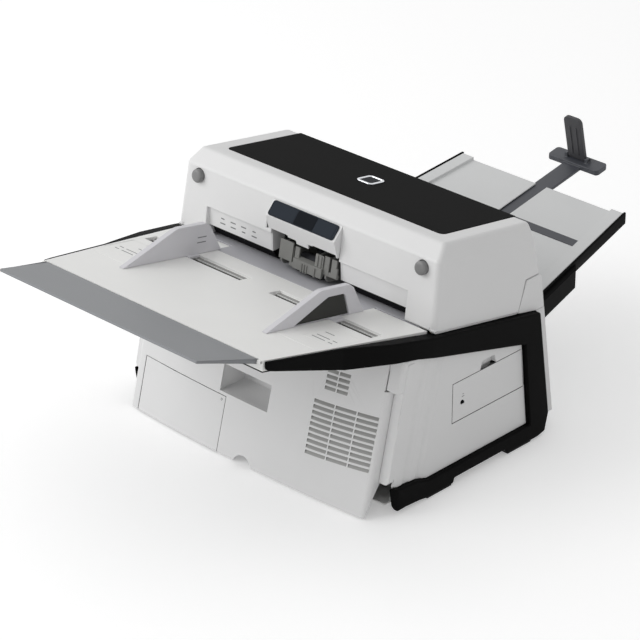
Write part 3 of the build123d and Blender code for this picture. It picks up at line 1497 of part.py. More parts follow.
def button_plane(z):
    """Plane on the cover front, with its normal pointing out."""
    lean = radians(COVER_LEAN_DEG)
    return Plane(origin=(0, cover_front_y(z), z), x_dir=(1, 0, 0), z_dir=(0, -cos(lean), sin(lean)))


def button_rod(radius, depth0, depth1):
    """Round bar square to the cover front at the right button."""
    plane = button_plane(BUTTON_Z)
    rod = Pos(BUTTON_X, 0, (depth0 + depth1) / 2) * Cylinder(radius, depth1 - depth0)
    return plane.location * rod


def top_panel_zone(grow, low):
    zone = Rectangle(2 * (TOP_PANEL_HALF + grow), 200 + 2 * grow)
    zone = fillet(zone.vertices(), TOP_PANEL_CORNER)
    centre_y = TOP_PANEL_FRONT_Y + 100
    return extrude(Pos(0, centre_y, low) * zone, 60)


def make_upper_shell():
    shell = cover_form(0, COVER_EDGE_RADIUS)
    shell -= cover_cavity()
    front_cut = block(-LEG_INNER_X, LEG_INNER_X, NIP_Y - 30, 12, bed_z(0) - 30, CHUTE_TOP_Z)
    shell -= front_cut
    mouth = block(-MOUTH_HALF, MOUTH_HALF, NIP_Y - 30, 5, bed_z(0) - 30, MOUTH_TOP_Z)
    shell -= mouth
    for piece in (chute_wall(), leg_web(), mouth_frame()):
        shell += piece & cover_form(0, 0)
        shell += mirrored(piece & cover_form(0, 0))
    skirt = cover_skirt()
    shell += skirt + mirrored(skirt)
    shell -= block(SHELL_SLOT_X - SHELL_SLOT_WIDTH / 2, SHELL_SLOT_X + SHELL_SLOT_WIDTH / 2,
                   NIP_Y - 10, 0, SHELL_SLOT_Z - SHELL_SLOT_HEIGHT / 2,
                   SHELL_SLOT_Z + SHELL_SLOT_HEIGHT / 2)
    relief = hinge_relief()
    shell -= relief + mirrored(relief)
    exit_cut = block(-HINGE_COVER_INNER_X, HINGE_COVER_INNER_X, 120, 220, 100, EXIT_LIP_Z)
    shell -= exit_cut
    pocket = top_panel_zone(FACE_GAP, TOP_PANEL_LOW_Z) - cover_form(TOP_PANEL_THICKNESS, 0)
    shell -= pocket
    bore = button_rod(BUTTON_RADIUS + FIT_GAP, -20, 5)
    shell -= bore + mirrored(bore)
    knuckle = rod_x(KNUCKLE_RADIUS, HINGE_COVER_INNER_X - 22, HINGE_COVER_INNER_X - SEAM_GAP,
                    HINGE_Y, HINGE_Z)
    shell += knuckle + mirrored(knuckle)
    pin = rod_x(HINGE_PIN_RADIUS + RUNNING_FIT, HINGE_COVER_INNER_X - 25, HALF, HINGE_Y, HINGE_Z)
    shell -= pin + mirrored(pin)
    return shell


def make_top_panel():
    """Matt black plate let into the top, run over the back edge."""
    outer = cover_form(-TOP_PANEL_PROUD, 0)
    plate = outer - cover_form(TOP_PANEL_THICKNESS - FACE_GAP, 0)
    plate &= top_panel_zone(0, TOP_PANEL_LOW_Z)
    hole = status_badge_form(FIT_GAP, -20, 20)
    return plate - hole


def status_badge_form(grow, low, high):
    slope = COVER_TOP_SLOPE_DEG
    plane = Plane(
        origin=(0, BADGE_Y, cover_top_z(BADGE_Y)), x_dir=(1, 0, 0),
        z_dir=(0, sin(radians(slope)), cos(radians(slope))),
    )
    outline = Rectangle(BADGE_WIDTH + 2 * grow, BADGE_DEPTH + 2 * grow)
    outline = fillet(outline.vertices(), 6)
    return plane.location * extrude(Pos(0, 0, low) * outline, high - low)


def make_status_badge():
    badge = status_badge_form(0, -TOP_PANEL_THICKNESS + FACE_GAP, TOP_PANEL_PROUD + BADGE_PROUD)
    return badge


def shroud_outline():
    """Hood over the pick unit seen from the side."""
    top_y = cover_front_y(SHROUD_TOP_Z)
    lip_y = top_y - SHROUD_REACH
    lip_top = SHROUD_TOP_Z - SHROUD_DROP
    tab_low = lip_top - SHROUD_LIP - SHROUD_TAB
    return [
        (top_y - FACE_GAP, SHROUD_TOP_Z), (lip_y, lip_top), (lip_y + SHROUD_LIP_RECESS, tab_low),
        (cover_front_y(tab_low) - FACE_GAP, tab_low),
    ]


def make_feeder_shroud():
    half = SHROUD_HALF
    hood = side_prism(shroud_outline(), -half, half)
    top_y = cover_front_y(SHROUD_TOP_Z)
    lip_y = top_y - SHROUD_REACH
    lip_top = SHROUD_TOP_Z - SHROUD_DROP
    lip_low = lip_top - SHROUD_LIP
    tab_low = lip_low - SHROUD_TAB
    back = lip_y + WALL + SHROUD_LIP_RECESS
    room = [
        (top_y + 5, SHROUD_TOP_Z - 4.5), (lip_y + WALL, lip_top - 2.2),
        (back, tab_low), (back, tab_low - 5), (top_y + 5, tab_low - 5),
    ]
    hood -= side_prism(room, -half + WALL, half - WALL)
    steps = [
        (-half - 1, -25.0, lip_low), (-25.0, -12.0, lip_low - 3), (8.0, 16.0, lip_low - 1.5),
        (16.0, half - WALL, lip_low), (half - WALL, half + 1, lip_low - SHROUD_TAB / 2),
    ]
    for x0, x1, high in steps:
        hood -= block(x0, x1, lip_y - 5, top_y, tab_low - 5, high)
    return hood


def bezel_plane():
    """Plane of the sloping top of the shroud."""
    top_y = cover_front_y(SHROUD_TOP_Z)
    lip = Vector(0, -SHROUD_REACH, -SHROUD_DROP)
    normal = Vector(0, -SHROUD_DROP, SHROUD_REACH).normalized()
    centre = Vector(0, top_y, SHROUD_TOP_Z) + lip * 0.5
    return Plane(origin=centre, x_dir=(1, 0, 0), z_dir=normal)


def make_bezel_plate():
    length = sqrt(SHROUD_REACH ** 2 + SHROUD_DROP ** 2) - 1.5
    outline = fillet(Rectangle(2 * BEZEL_HALF, length).vertices(), BEZEL_CORNER)
    plate = extrude(Pos(0, 0, FACE_GAP) * outline, BEZEL_THICKNESS)
    return bezel_plane().location * plate


def make_release_button():
    """Domed button with a collar that keeps it in the cover."""
    stem = Cylinder(BUTTON_RADIUS, BUTTON_PROUD + 6)
    stem = Pos(0, 0, (BUTTON_PROUD - 6) / 2) * stem
    stem = fillet(stem.edges().sort_by(Axis.Z)[-1], 3.0)
    collar_top = -WALL - FIT_GAP
    collar = Pos(0, 0, collar_top - 1.0) * Cylinder(BUTTON_RADIUS + 2.0, 2.0)
    button = stem + collar
    return button_plane(BUTTON_Z).location * Pos(BUTTON_X, 0, 0) * button


def idler_ear(x, s):
    """Ear on the upper guide plate with the bore for an idler shaft."""
    high = IDLER_AXIS_N + 5
    ear = block(x - 2, x + 2, s - 6, s + 6, GUIDE_PLATE_N + 1, high)
    return ear - rod_x(IDLER_SHAFT_RADIUS + RUNNING_FIT, x - 3, x + 3, s, IDLER_AXIS_N)


def pick_ear(x):
    """Ear on the upper guide plate that carries the pick unit's rod."""
    ear = block(x - 2.5, x + 2.5, PICK_PIVOT_S - 7, PICK_PIVOT_S + 7,
                GUIDE_PLATE_N + 1, PICK_PIVOT_N + 7)
    return ear - rod_x(PICK_ROD_RADIUS + RUNNING_FIT, x - 4, x + 4, PICK_PIVOT_S, PICK_PIVOT_N)


def make_upper_guide_plate():
    half = COVER_BASE_HALF - WALL - FIT_GAP - 0.3
    end_s = 184.0
    top = GUIDE_PLATE_N + 2
    plate = block(-half, half, GUIDE_FRONT_EDGE_S, end_s, GUIDE_PLATE_N, top)
    relief_x = HINGE_COVER_INNER_X - SEAM_GAP - 1
    relief = block(relief_x, half + 5, hinge_zone_s() - 10, end_s + 5, 0, 10)
    corner = block(LEG_INNER_X - 1, half + 5, 0, 50, 0, 10)
    plate -= relief + mirrored(relief) + corner + mirrored(corner)
    edge = GUIDE_FRONT_EDGE_S
    lip = side_prism(
        [(edge, GUIDE_PLATE_N), (edge + 2, top), (edge - 4.5, top + 9), (edge - 6, top + 9)],
        MOUTH_HALF + WALL + 1, LEG_INNER_X - 1)
    plate += lip + mirrored(lip)
    plate -= block(-MOUTH_HALF, MOUTH_HALF, 0, 38, 0, 10)
    plate -= window_cuts(TYRE_WIDTH + 4, FRONT_DRIVE_S, IDLER_RADIUS + 1)
    plate -= window_cuts(TYRE_WIDTH + 4, BACK_DRIVE_S, IDLER_RADIUS + 1)
    plate -= glass_cut(FIT_GAP)
    for s in (FRONT_DRIVE_S, BACK_DRIVE_S):
        ear = idler_ear(TYRE_SPACING * 1.5 + TYRE_WIDTH / 2 + 6, s)
        plate += ear + mirrored(ear)
    ear = pick_ear(CHEEK_OUTER + 6)
    plate += ear + mirrored(ear)
    return BED.location * plate


def make_upper_glass():
    top = GUIDE_PLATE_N + GLASS_THICKNESS
    glass = glass_cut(0) & block(-HALF, HALF, 0, BED_END_S, GUIDE_PLATE_N, top)
    return BED.location * glass


def make_upper_sensor():
    low = GUIDE_PLATE_N + 2 + FACE_GAP
    return BED.location * sensor_box(low, low + SENSOR_HEIGHT)


def make_idler(s):
    end = TYRE_SPACING * 1.5 + TYRE_WIDTH / 2 + 8
    shaft = rod_x(IDLER_SHAFT_RADIUS, -end, end, s, IDLER_AXIS_N)
    for x in tyre_places():
        shaft += rod_x(IDLER_RADIUS, x - TYRE_WIDTH / 2, x + TYRE_WIDTH / 2, s, IDLER_AXIS_N)
    return BED.location * shaft


def pick_roller_n():
    return PICK_ROLLER_RADIUS + PICK_CLEARANCE


def pick_cheek(x0):
    """Side cheek of the pick unit, from its face back to the pivot."""
    low = PICK_CLEARANCE + 2
    front = PICK_FRONT_S + 2
    outline = [
        (front, low + 5), (front + 6, low), (PICK_ROLLER_S + 10, low),
        (PICK_PIVOT_S + 5, PICK_PIVOT_N - 5), (PICK_PIVOT_S + 5, PICK_PIVOT_N + 5),
        (PICK_PIVOT_S - 4, PICK_PIVOT_N + 6), (front + 6, PICK_TOP_N - 4), (front, PICK_TOP_N - 6),
    ]
    return side_prism(outline, x0, x0 + 3)


def pick_bar():
    """Ribbed bar across the front of the pick unit, with a sloping top."""
    front = PICK_FRONT_S - 2
    back = PICK_FRONT_S + 5
    outline = [
        (front, PICK_BAR_LOW_N), (front, PICK_BAR_TOP_N), (back, PICK_BAR_TOP_N + 3),
        (back, PICK_BAR_TOP_N - 3), (front + 3, PICK_BAR_LOW_N),
    ]
    bar = side_prism(outline, PICK_BAR_LEFT, PICK_BAR_RIGHT)
    for x in (1.0, 5.0, 9.0, 22.0):
        bar += block(x - 0.8, x + 0.8, front - 1.2, front + 1,
                     PICK_BAR_LOW_N - 1, PICK_BAR_TOP_N - 2)
    return bar


def pick_face():
    """Upright plates of the face and the bar behind them that joins them."""
    top = PICK_TOP_N
    plates = [
        (-39.5, -18.0, 12.0, top, 0.0), (-22.0, -13.5, PICK_BAR_LOW_N, 12.5, 0.5),
        (-15.0, -8.0, 18.5, top - 3, 1.0), (19.0, 32.0, 18.5, top - 1, 0.0),
        (32.5, 40.5, 14.0, top, 1.5), (45.0, PICK_END_X - 2, 14.0, top, 0.5),
        (PICK_END_X - 3, PICK_END_X, 14.0, top - 10, 0.5),
    ]
    face = block(-39.5, PICK_END_X, PICK_FRONT_S + 2, PICK_FRONT_S + 5, 12.5, 18.0)
    for x0, x1, low, high, back in plates:
        front = PICK_FRONT_S + back
        face += block(x0, x1, front, front + 2.5, low, high)
    for x in (23.0, 28.5):
        face += block(x - 1.2, x + 1.2, PICK_FRONT_S - 1.2, PICK_FRONT_S + 1, 20.0, top - 2)
    return face


def make_pick_arm():
    """Grey cradle with a face of plates, four cheeks and a pivot rod."""
    arm = pick_face() + pick_bar()
    for x0 in (CHEEK_INNER, CHEEK_OUTER - 3):
        cheek = pick_cheek(x0)
        arm += cheek + mirrored(cheek)
    arm += rod_x(PICK_ROD_RADIUS, -CHEEK_OUTER - 8, CHEEK_OUTER + 8, PICK_PIVOT_S, PICK_PIVOT_N)
    arm -= rod_x(PICK_ROD_RADIUS + RUNNING_FIT, -CHEEK_INNER - 4, CHEEK_INNER + 4,
                 PICK_ROLLER_S, pick_roller_n())
    return BED.location * arm


def make_pick_roller():
    n = pick_roller_n()
    roller = rod_x(PICK_ROLLER_RADIUS, -PICK_ROLLER_HALF, PICK_ROLLER_HALF, PICK_ROLLER_S, n)
    roller += rod_x(PICK_ROD_RADIUS, -CHEEK_INNER - 3, CHEEK_INNER + 3, PICK_ROLLER_S, n)
    return BED.location * roller


# Output stacker


def stacker_plan(inset, front=0.0, end=0.0):
    y0 = STACKER_FRONT_Y + front
    y1 = STACKER_END_Y - end
    right = [(stacker_half(y0) - inset, y0), (stacker_half(y1) - inset, y1)]
    return right + [(-x, y) for x, y in reversed(right)]


def stacker_band(low, high, y0, y1):
    """Sloping slab that limits stacker pieces in height."""
    outline = [
        (y0, stacker_z(y0, low)), (y1, stacker_z(y1, low)),
        (y1, stacker_z(y1, high)), (y0, stacker_z(y0, high)),
    ]
    return side_prism(outline, -HALF, HALF)


def stacker_slab(plan, low, high):
    return plan_prism(plan, 0, COVER_TOP_FRONT_Z) & stacker_band(low, high, HINGE_Y, FAR_Y)


def rail_groove(half):
    """Plan of the groove for the stopper's rail, open at the far end."""
    y0 = STACKER_END_Y - RAIL_LENGTH
    y1 = STACKER_END_Y + 5
    return [(-half, y0), (half, y0), (half, y1), (-half, y1)]


def make_stacker_tray():
    body = stacker_slab(stacker_plan(TRIM_THICKNESS + FACE_GAP), -STACKER_THICKNESS, 0)
    well = stacker_plan(STACKER_RIM, 12, -5)
    body -= stacker_slab(well, -STACKER_RECESS, 5)
    strip_cut = stacker_slab(strip_plan(0), -STACKER_RECESS - 1.5, 5)
    body -= strip_cut
    groove = rail_groove(RAIL_HALF + FIT_GAP)
    body -= stacker_slab(groove, rail_low() - FIT_GAP, rail_low() + RAIL_THICKNESS + FIT_GAP)
    body -= stacker_slab(rail_groove(RAIL_HALF - 5), rail_low(), 5)
    hook = side_prism(
        [(back_y(stacker_z(STACKER_FRONT_Y, -2), 0) + FACE_GAP, stacker_z(STACKER_FRONT_Y, -2)),
         (back_y(stacker_z(STACKER_FRONT_Y, -12), 0) + FACE_GAP, stacker_z(STACKER_FRONT_Y, -12)),
         (STACKER_FRONT_Y + 1, stacker_z(STACKER_FRONT_Y, -12)),
         (STACKER_FRONT_Y + 1, stacker_z(STACKER_FRONT_Y, -2))],
        80, 130)
    return body + hook + mirrored(hook)


def rail_low():
    return -STACKER_RECESS - RAIL_THICKNESS - 2.5


def strip_plan(inset):
    """Dark cross strip in the well of the stacker."""
    y0 = STRIP_Y - STRIP_WIDTH / 2 + inset
    y1 = STRIP_Y + STRIP_WIDTH / 2 - inset
    half = stacker_half(STRIP_Y) - STACKER_RIM - 1.0 - inset
    return [(half, y0), (half, y1), (-half, y1), (-half, y0)]


def make_stacker_strip():
    return stacker_slab(strip_plan(FACE_GAP), -STACKER_RECESS - 1.5, -STACKER_RECESS + 0.8)


def trim_plan(y0, y1, out):
    inner = TRIM_THICKNESS
    return [
        (stacker_half(y0) - inner, y0), (stacker_half(y1) - inner, y1),
        (stacker_half(y1) + out, y1), (stacker_half(y0) + out, y0),
    ]


def make_stacker_trim():
    """Black side skirts, deeper and further out near the casing."""
    front = STACKER_FRONT_Y + 4
    narrow = stacker_slab(trim_plan(front, STACKER_END_Y + 2, 0.5), -TRIM_SHALLOW, 0.6)
    step = [
        (stacker_half(front) - TRIM_THICKNESS, front),
        (stacker_half(TRIM_STEP_Y + 10) - TRIM_THICKNESS, TRIM_STEP_Y + 10),
        (stacker_half(TRIM_STEP_Y) + TRIM_STEP_OUT, TRIM_STEP_Y - 4),
        (stacker_half(front) + TRIM_STEP_OUT, front),
    ]
    wide = stacker_slab(step, -TRIM_DEEP, -3.0)
    return both_sides(narrow + wide)


def make_stopper_slide():
    """Rail in the stacker with the wide foot of the stopper on its end."""
    y1 = STACKER_END_Y + STOPPER_REACH
    y0 = y1 - RAIL_LENGTH + 12
    low = rail_low()
    rail = [(-RAIL_HALF, y0), (RAIL_HALF, y0), (RAIL_HALF, y1), (-RAIL_HALF, y1)]
    slide = stacker_slab(rail, low, low + RAIL_THICKNESS)
    foot_y0 = y1 - STOPPER_BASE_DEPTH
    foot = Rectangle(2 * STOPPER_BASE_HALF, STOPPER_BASE_DEPTH)
    foot = fillet(foot.vertices(), 5)
    foot = extrude(Pos(0, (foot_y0 + y1) / 2, 0) * foot, COVER_TOP_FRONT_Z)
    slide += foot & stacker_band(low, low + STOPPER_BASE_HEIGHT, HINGE_Y, FAR_Y)
    y, z = blade_axis()
    for sign in (-1, 1):
        x0 = sign * (BLADE_WIDTH / 2 + FIT_GAP)
        ear = side_prism([(y - 4, z - 6), (y + 4, z - 6), (y + 4, z + 3), (y - 4, z + 3)],
                         min(x0, x0 + sign * 5), max(x0, x0 + sign * 5))
        slide += ear
    slide -= rod_x(BLADE_PIN_RADIUS + RUNNING_FIT, -HALF, HALF, y, z)
    return slide


def blade_axis():
    """Hinge line of the stopper blade, as (y, z)."""
    y = STACKER_END_Y + STOPPER_REACH - STOPPER_BASE_DEPTH / 2
    return y, stacker_z(y, rail_low() + STOPPER_BASE_HEIGHT + BLADE_THICKNESS / 2 + FIT_GAP)


def make_stopper_blade():
    y, z = blade_axis()
    outline = Rectangle(BLADE_WIDTH, BLADE_HEIGHT)
    outline = fillet(outline.vertices().sort_by(Axis.Y)[-2:], 7)
    blade = extrude(Pos(0, BLADE_HEIGHT / 2, -BLADE_THICKNESS / 2) * outline, BLADE_THICKNESS)
    for x in (-5.0, 5.0):
        rib = block(x - 1, x + 1, 6, BLADE_HEIGHT - 14, BLADE_THICKNESS / 2 - 0.2,
                    BLADE_THICKNESS / 2 + 1)
        blade += rib
    blade += rod_x(BLADE_THICKNESS / 2, -BLADE_WIDTH / 2, BLADE_WIDTH / 2, 0, 0)
    blade += rod_x(BLADE_PIN_RADIUS, -BLADE_WIDTH / 2 - 5, BLADE_WIDTH / 2 + 5, 0, 0)
    return Pos(0, y, z) * Rot(90 + BLADE_LEAN_DEG, 0, 0) * blade


# Electrics


def make_fan_frame():
    y0 = front_y(FAN_Z, WALL + 12)
    frame = block(FAN_X - FAN_SIZE / 2, FAN_X + FAN_SIZE / 2, y0, y0 + FAN_DEPTH,
                  FAN_Z - FAN_SIZE / 2, FAN_Z + FAN_SIZE / 2)
    frame -= rod_y(FAN_SIZE / 2 - 2, FAN_X, y0 - 1, y0 + FAN_DEPTH + 1, FAN_Z)
    spokes = []
    for x0, x1, z0, z1 in ((-FAN_SIZE / 2 + 1, FAN_SIZE / 2 - 1, -1.5, 1.5),
                           (-1.5, 1.5, -FAN_SIZE / 2 + 1, FAN_SIZE / 2 - 1)):
        spokes.append(block(FAN_X + x0, FAN_X + x1, y0 + FAN_DEPTH - 2, y0 + FAN_DEPTH,
                            FAN_Z + z0, FAN_Z + z1))
    frame += spokes
    pivot = rod_y(2.0, FAN_X, y0 + 6, y0 + FAN_DEPTH, FAN_Z)
    base = block(FAN_X - FAN_SIZE / 2, FAN_X + FAN_SIZE / 2, y0 + 4, y0 + FAN_DEPTH,
                 CHASSIS_Z + CHASSIS_THICKNESS + FACE_GAP, FAN_Z - FAN_SIZE / 2 + 1)
    return frame + pivot + base


def make_fan_rotor():
    y0 = front_y(FAN_Z, WALL + 12)
    hub = rod_y(11, FAN_X, y0 + 4, y0 + 16, FAN_Z)
    for number in range(FAN_BLADES):
        blade = block(8, FAN_SIZE / 2 - 4, -5, 5, -0.8, 0.8)
        blade = Rot(28, 0, 0) * blade
        blade = Rot(0, number * 360 / FAN_BLADES, 0) * blade
        hub += Pos(FAN_X, y0 + 10, FAN_Z) * blade
    hub -= rod_y(2.0 + RUNNING_FIT, FAN_X, y0 + 5, y0 + 20, FAN_Z)
    return hub


def board_back_y():
    """Back face of the main board."""
    return back_y(CHASSIS_Z + BOARD_HEIGHT, WALL + 6)


def make_main_board():
    z0 = CHASSIS_Z + CHASSIS_THICKNESS + FACE_GAP
    y1 = board_back_y()
    board = block(BOARD_X - BOARD_WIDTH / 2, BOARD_X + BOARD_WIDTH / 2,
                  y1 - BOARD_THICKNESS, y1, z0 + 4, z0 + BOARD_HEIGHT)
    chip = block(BOARD_X - 20, BOARD_X + 20, y1 - BOARD_THICKNESS - 6, y1 - BOARD_THICKNESS,
                 z0 + 40, z0 + 70)
    foot = block(BOARD_X - BOARD_WIDTH / 2, BOARD_X + BOARD_WIDTH / 2,
                 back_y(CHASSIS_Z, BACK_STRIP + COLUMN_LOW_DEPTH) - 10, y1, z0, z0 + 4)
    return board + chip + foot


def make_power_supply():
    z0 = CHASSIS_Z + CHASSIS_THICKNESS + FACE_GAP
    y1 = back_y(CHASSIS_Z, BACK_STRIP + COLUMN_LOW_DEPTH) - 8
    return block(SUPPLY_X - SUPPLY_WIDTH / 2, SUPPLY_X + SUPPLY_WIDTH / 2,
                 y1 - SUPPLY_DEPTH, y1, z0, z0 + SUPPLY_HEIGHT)


def socket_body(x, width, height, z, wall, y0):
    """Moulded socket behind the back cover with a recess to the back."""
    y1 = back_y(z) + 0.4
    body = block(x - width / 2 + FIT_GAP, x + width / 2 - FIT_GAP, y0, y1,
                 z - height / 2 + FIT_GAP, z + height / 2 - FIT_GAP)
    room = block(x - width / 2 + wall, x + width / 2 - wall, max(y1 - 14, y0 + 2), y1 + 5,
                 z - height / 2 + wall, z + height / 2 - wall)
    return body - room


def make_power_inlet():
    y1 = back_y(PORT_Z)
    inlet = socket_body(INLET_X, INLET_WIDTH, INLET_HEIGHT, PORT_Z, 2.2, y1 - 22)
    for x, z in ((-6.0, 0.0), (0.0, 2.5), (6.0, 0.0)):
        inlet += block(INLET_X + x - 1, INLET_X + x + 1, y1 - 16, y1 - 4,
                       PORT_Z + z - 2, PORT_Z + z + 2)
    return inlet


def make_data_port():
    y0 = board_back_y() + FACE_GAP
    port = socket_body(DATA_PORT_X, DATA_PORT_WIDTH, DATA_PORT_HEIGHT, PORT_Z, 1.6, y0)
    return port + block(DATA_PORT_X - 2.6, DATA_PORT_X + 2.6, y0, back_y(PORT_Z) - 3,
                        PORT_Z - 1.6, PORT_Z + 1.6)


def switch_axis():
    """Tilt axis of the power rocker, as (y, z)."""
    return back_y(PORT_Z, 5.0), PORT_Z


def make_power_switch():
    y, z = switch_axis()
    half_x = SWITCH_WIDTH / 2 - FIT_GAP
    face = back_y(PORT_Z) - y + 0.8
    half_z = SWITCH_HEIGHT / 2 - 1.6
    rocker = side_prism(
        [(y, z - 4), (y + face, z - half_z), (y + face + 0.8, z), (y + face, z + half_z), (y, z + 4)],
        SWITCH_X - half_x, SWITCH_X + half_x)
    rocker += rod_x(4.0, SWITCH_X - half_x, SWITCH_X + half_x, y, z)
    return rocker.rotate(Axis((SWITCH_X, y, z), (1, 0, 0)), -SWITCH_TILT_DEG)


# Assembly


def origin_shift():
    """Origin on the floor under the middle of the whole length."""
    front = make_tray_flap().bounding_box().min.Y
    back = make_stopper_slide().bounding_box().max.Y
    return (front + back) / 2


def base_nodes():
    frame = make_frame()
    side_panel = make_side_panel()
    hinge_cover = make_hinge_cover()
    trim = make_stacker_trim()
    return {
        "base_plate": make_base_plate(),
        "frame_right": frame,
        "frame_left": mirrored(frame),
        "rubber_feet": make_rubber_feet(),
        "inner_plates": make_inner_plates(),
        "shaft_bushes": make_shaft_bushes(),
        "front_panel": make_front_panel(),
        "front_door": make_front_door(),
        "handle_pocket": make_handle_pocket(),
        "side_panel_left": mirrored(side_panel),
        "side_panel_right": make_side_panel_right(),
        "side_door": make_side_door(),
        "back_cover": make_back_cover(),
        "case_screws": make_case_screws(),
        "hinge_cover_right": hinge_cover,
        "hinge_cover_left": mirrored(hinge_cover),
        "hinge_pins": make_hinge_pins(),
        "stacker_tray": make_stacker_tray(),
        "stacker_trim": trim,
        "stacker_strip": make_stacker_strip(),
        "stopper_slide": make_stopper_slide(),
        "stopper_blade": make_stopper_blade(),
    }


def feed_nodes():
    guide_right, guide_left = make_guides()
    insert = make_guide_insert()
    return {
        "feed_tray": make_feed_tray(),
        "tray_pan": make_tray_pan(),
        "tray_flap": make_tray_flap(),
        "guide_right": guide_right,
        "guide_left": guide_left,
        "guide_insert_right": BED.location * insert,
        "guide_insert_left": BED.location * mirrored(insert),
        "guide_pinion": make_guide_pinion(),
        "transport_bed": make_transport_bed(),
        "lower_glass": make_lower_glass(),
        "lower_sensor_unit": make_lower_sensor(),
        "feed_roller": make_feed_roller(),
        "front_drive_roller": make_drive_roller(FRONT_DRIVE_S),
        "back_drive_roller": make_drive_roller(BACK_DRIVE_S),
        "drive_motor": make_motor(),
        "motor_pulley": make_motor_pulley(),
        "drive_belt": make_drive_belt(),
    }


def cover_nodes():
    button = make_release_button()
    return {
        "upper_shell": make_upper_shell(),
        "top_panel": make_top_panel(),
        "status_badge": make_status_badge(),
        "feeder_shroud": make_feeder_shroud(),
        "bezel_plate": make_bezel_plate(),
        "release_button_right": button,
        "release_button_left": mirrored(button),
        "upper_guide_plate": make_upper_guide_plate(),
        "upper_glass": make_upper_glass(),
        "upper_sensor_unit": make_upper_sensor(),
        "front_idler": make_idler(FRONT_DRIVE_S),
        "back_idler": make_idler(BACK_DRIVE_S),
        "pick_arm": make_pick_arm(),
        "pick_roller": make_pick_roller(),
    }


def electric_nodes():
    return {
        "fan_frame": make_fan_frame(),
        "fan_rotor": make_fan_rotor(),
        "main_board": make_main_board(),
        "power_supply": make_power_supply(),
        "power_inlet": make_power_inlet(),
        "power_switch": make_power_switch(),
        "data_port": make_data_port(),
    }


def solids_of(shape):
    """Plain list of the solids in a piece."""
    if isinstance(shape, (list, tuple)):
        return [solid for item in shape for solid in solids_of(item)]
    return list(shape.solids())


def main():
    os.makedirs("parts", exist_ok=True)
    shift = Pos(0, -origin_shift(), 0)
    for group in (base_nodes, feed_nodes, cover_nodes, electric_nodes):
        for name, shape in group().items():
            solids = [shift * solid for solid in solids_of(shape)]
            node = solids[0] if len(solids) == 1 else Compound(children=solids)
            export_step(node, os.path.join("parts", name + ".step"))


if __name__ == "__main__":
    main()
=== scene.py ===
import json
from math import cos, pi, radians, sin

import bmesh
import bpy
from bpy.props import FloatProperty, FloatVectorProperty, PointerProperty
from mathutils import Matrix, Vector
from mathutils.bvhtree import BVHTree


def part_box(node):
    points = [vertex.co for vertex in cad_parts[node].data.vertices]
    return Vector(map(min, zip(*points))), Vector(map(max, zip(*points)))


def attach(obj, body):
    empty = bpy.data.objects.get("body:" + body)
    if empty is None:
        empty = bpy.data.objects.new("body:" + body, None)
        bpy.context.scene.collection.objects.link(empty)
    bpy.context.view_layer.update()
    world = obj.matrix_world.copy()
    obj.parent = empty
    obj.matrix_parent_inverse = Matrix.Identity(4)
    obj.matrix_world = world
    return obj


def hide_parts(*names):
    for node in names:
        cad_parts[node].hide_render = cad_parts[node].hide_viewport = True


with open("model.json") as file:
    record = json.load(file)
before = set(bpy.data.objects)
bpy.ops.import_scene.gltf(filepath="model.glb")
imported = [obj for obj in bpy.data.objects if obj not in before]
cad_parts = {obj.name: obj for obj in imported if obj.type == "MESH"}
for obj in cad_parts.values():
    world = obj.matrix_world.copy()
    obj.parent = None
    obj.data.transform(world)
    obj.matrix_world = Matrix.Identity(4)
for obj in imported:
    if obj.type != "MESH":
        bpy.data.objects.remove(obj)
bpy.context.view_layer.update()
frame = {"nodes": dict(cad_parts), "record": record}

bl_info = {
    "name": "Document scanner finish",
    "version": (1, 0, 0),
    "blender": (4, 5, 0),
    "location": "View3D > Sidebar > Scanner",
    "description": "Finishes, rounded edges and small parts of a document scanner",
    "category": "Object",
}

MM = 0.001

# Thickness and usual width of a printed mark, in millimetres.
INK_THICKNESS = 0.14
MARK_WIDTH = 1.5

# Starts of the lines that find a surface, in millimetres: before and above the scanner.
FAR_FRONT = -500.0
FAR_ABOVE = 500.0

# Vertices closer than this in millimetres are merged before an edge is rounded.
MERGE_WITHIN = 0.01

# Angles in degrees: faces that count as one flat, edges that are rounded, smooth shading.
FLAT_ANGLE = 0.6
SHARP_ANGLE = 34
SMOOTH_ANGLE = 33

RECORD = frame["record"]
BODIES = RECORD["behaviour"]["bodies"]
BODY_OF = {node: body for body, nodes in BODIES.items() for node in nodes}


def linear(channel):
    """One sRGB channel, 0 to 1, as linear light."""
    return channel / 12.92 if channel <= 0.04045 else ((channel + 0.055) / 1.055) ** 2.4


def colour(code):
    """Linear red, green and blue of a hex sRGB colour such as "#dcdcda"."""
    code = code.lstrip("#")
    return [linear(int(code[i:i + 2], 16) / 255) for i in (0, 2, 4)]


def size_property(name, millimetres, description):
    """Length property with its default in millimetres."""
    return FloatProperty(name=name, description=description, default=millimetres * MM,
                         min=0.0, unit="LENGTH", precision=4)


def angle_property(name, angle, description):
    """Angle property with its default in degrees."""
    return FloatProperty(name=name, description=description, default=radians(angle),
                         subtype="ANGLE")


def colour_property(name, code, description):
    """Colour property with its default as a hex sRGB colour."""
    return FloatVectorProperty(name=name, description=description, default=colour(code),
                               size=3, min=0.0, max=1.0, subtype="COLOR")


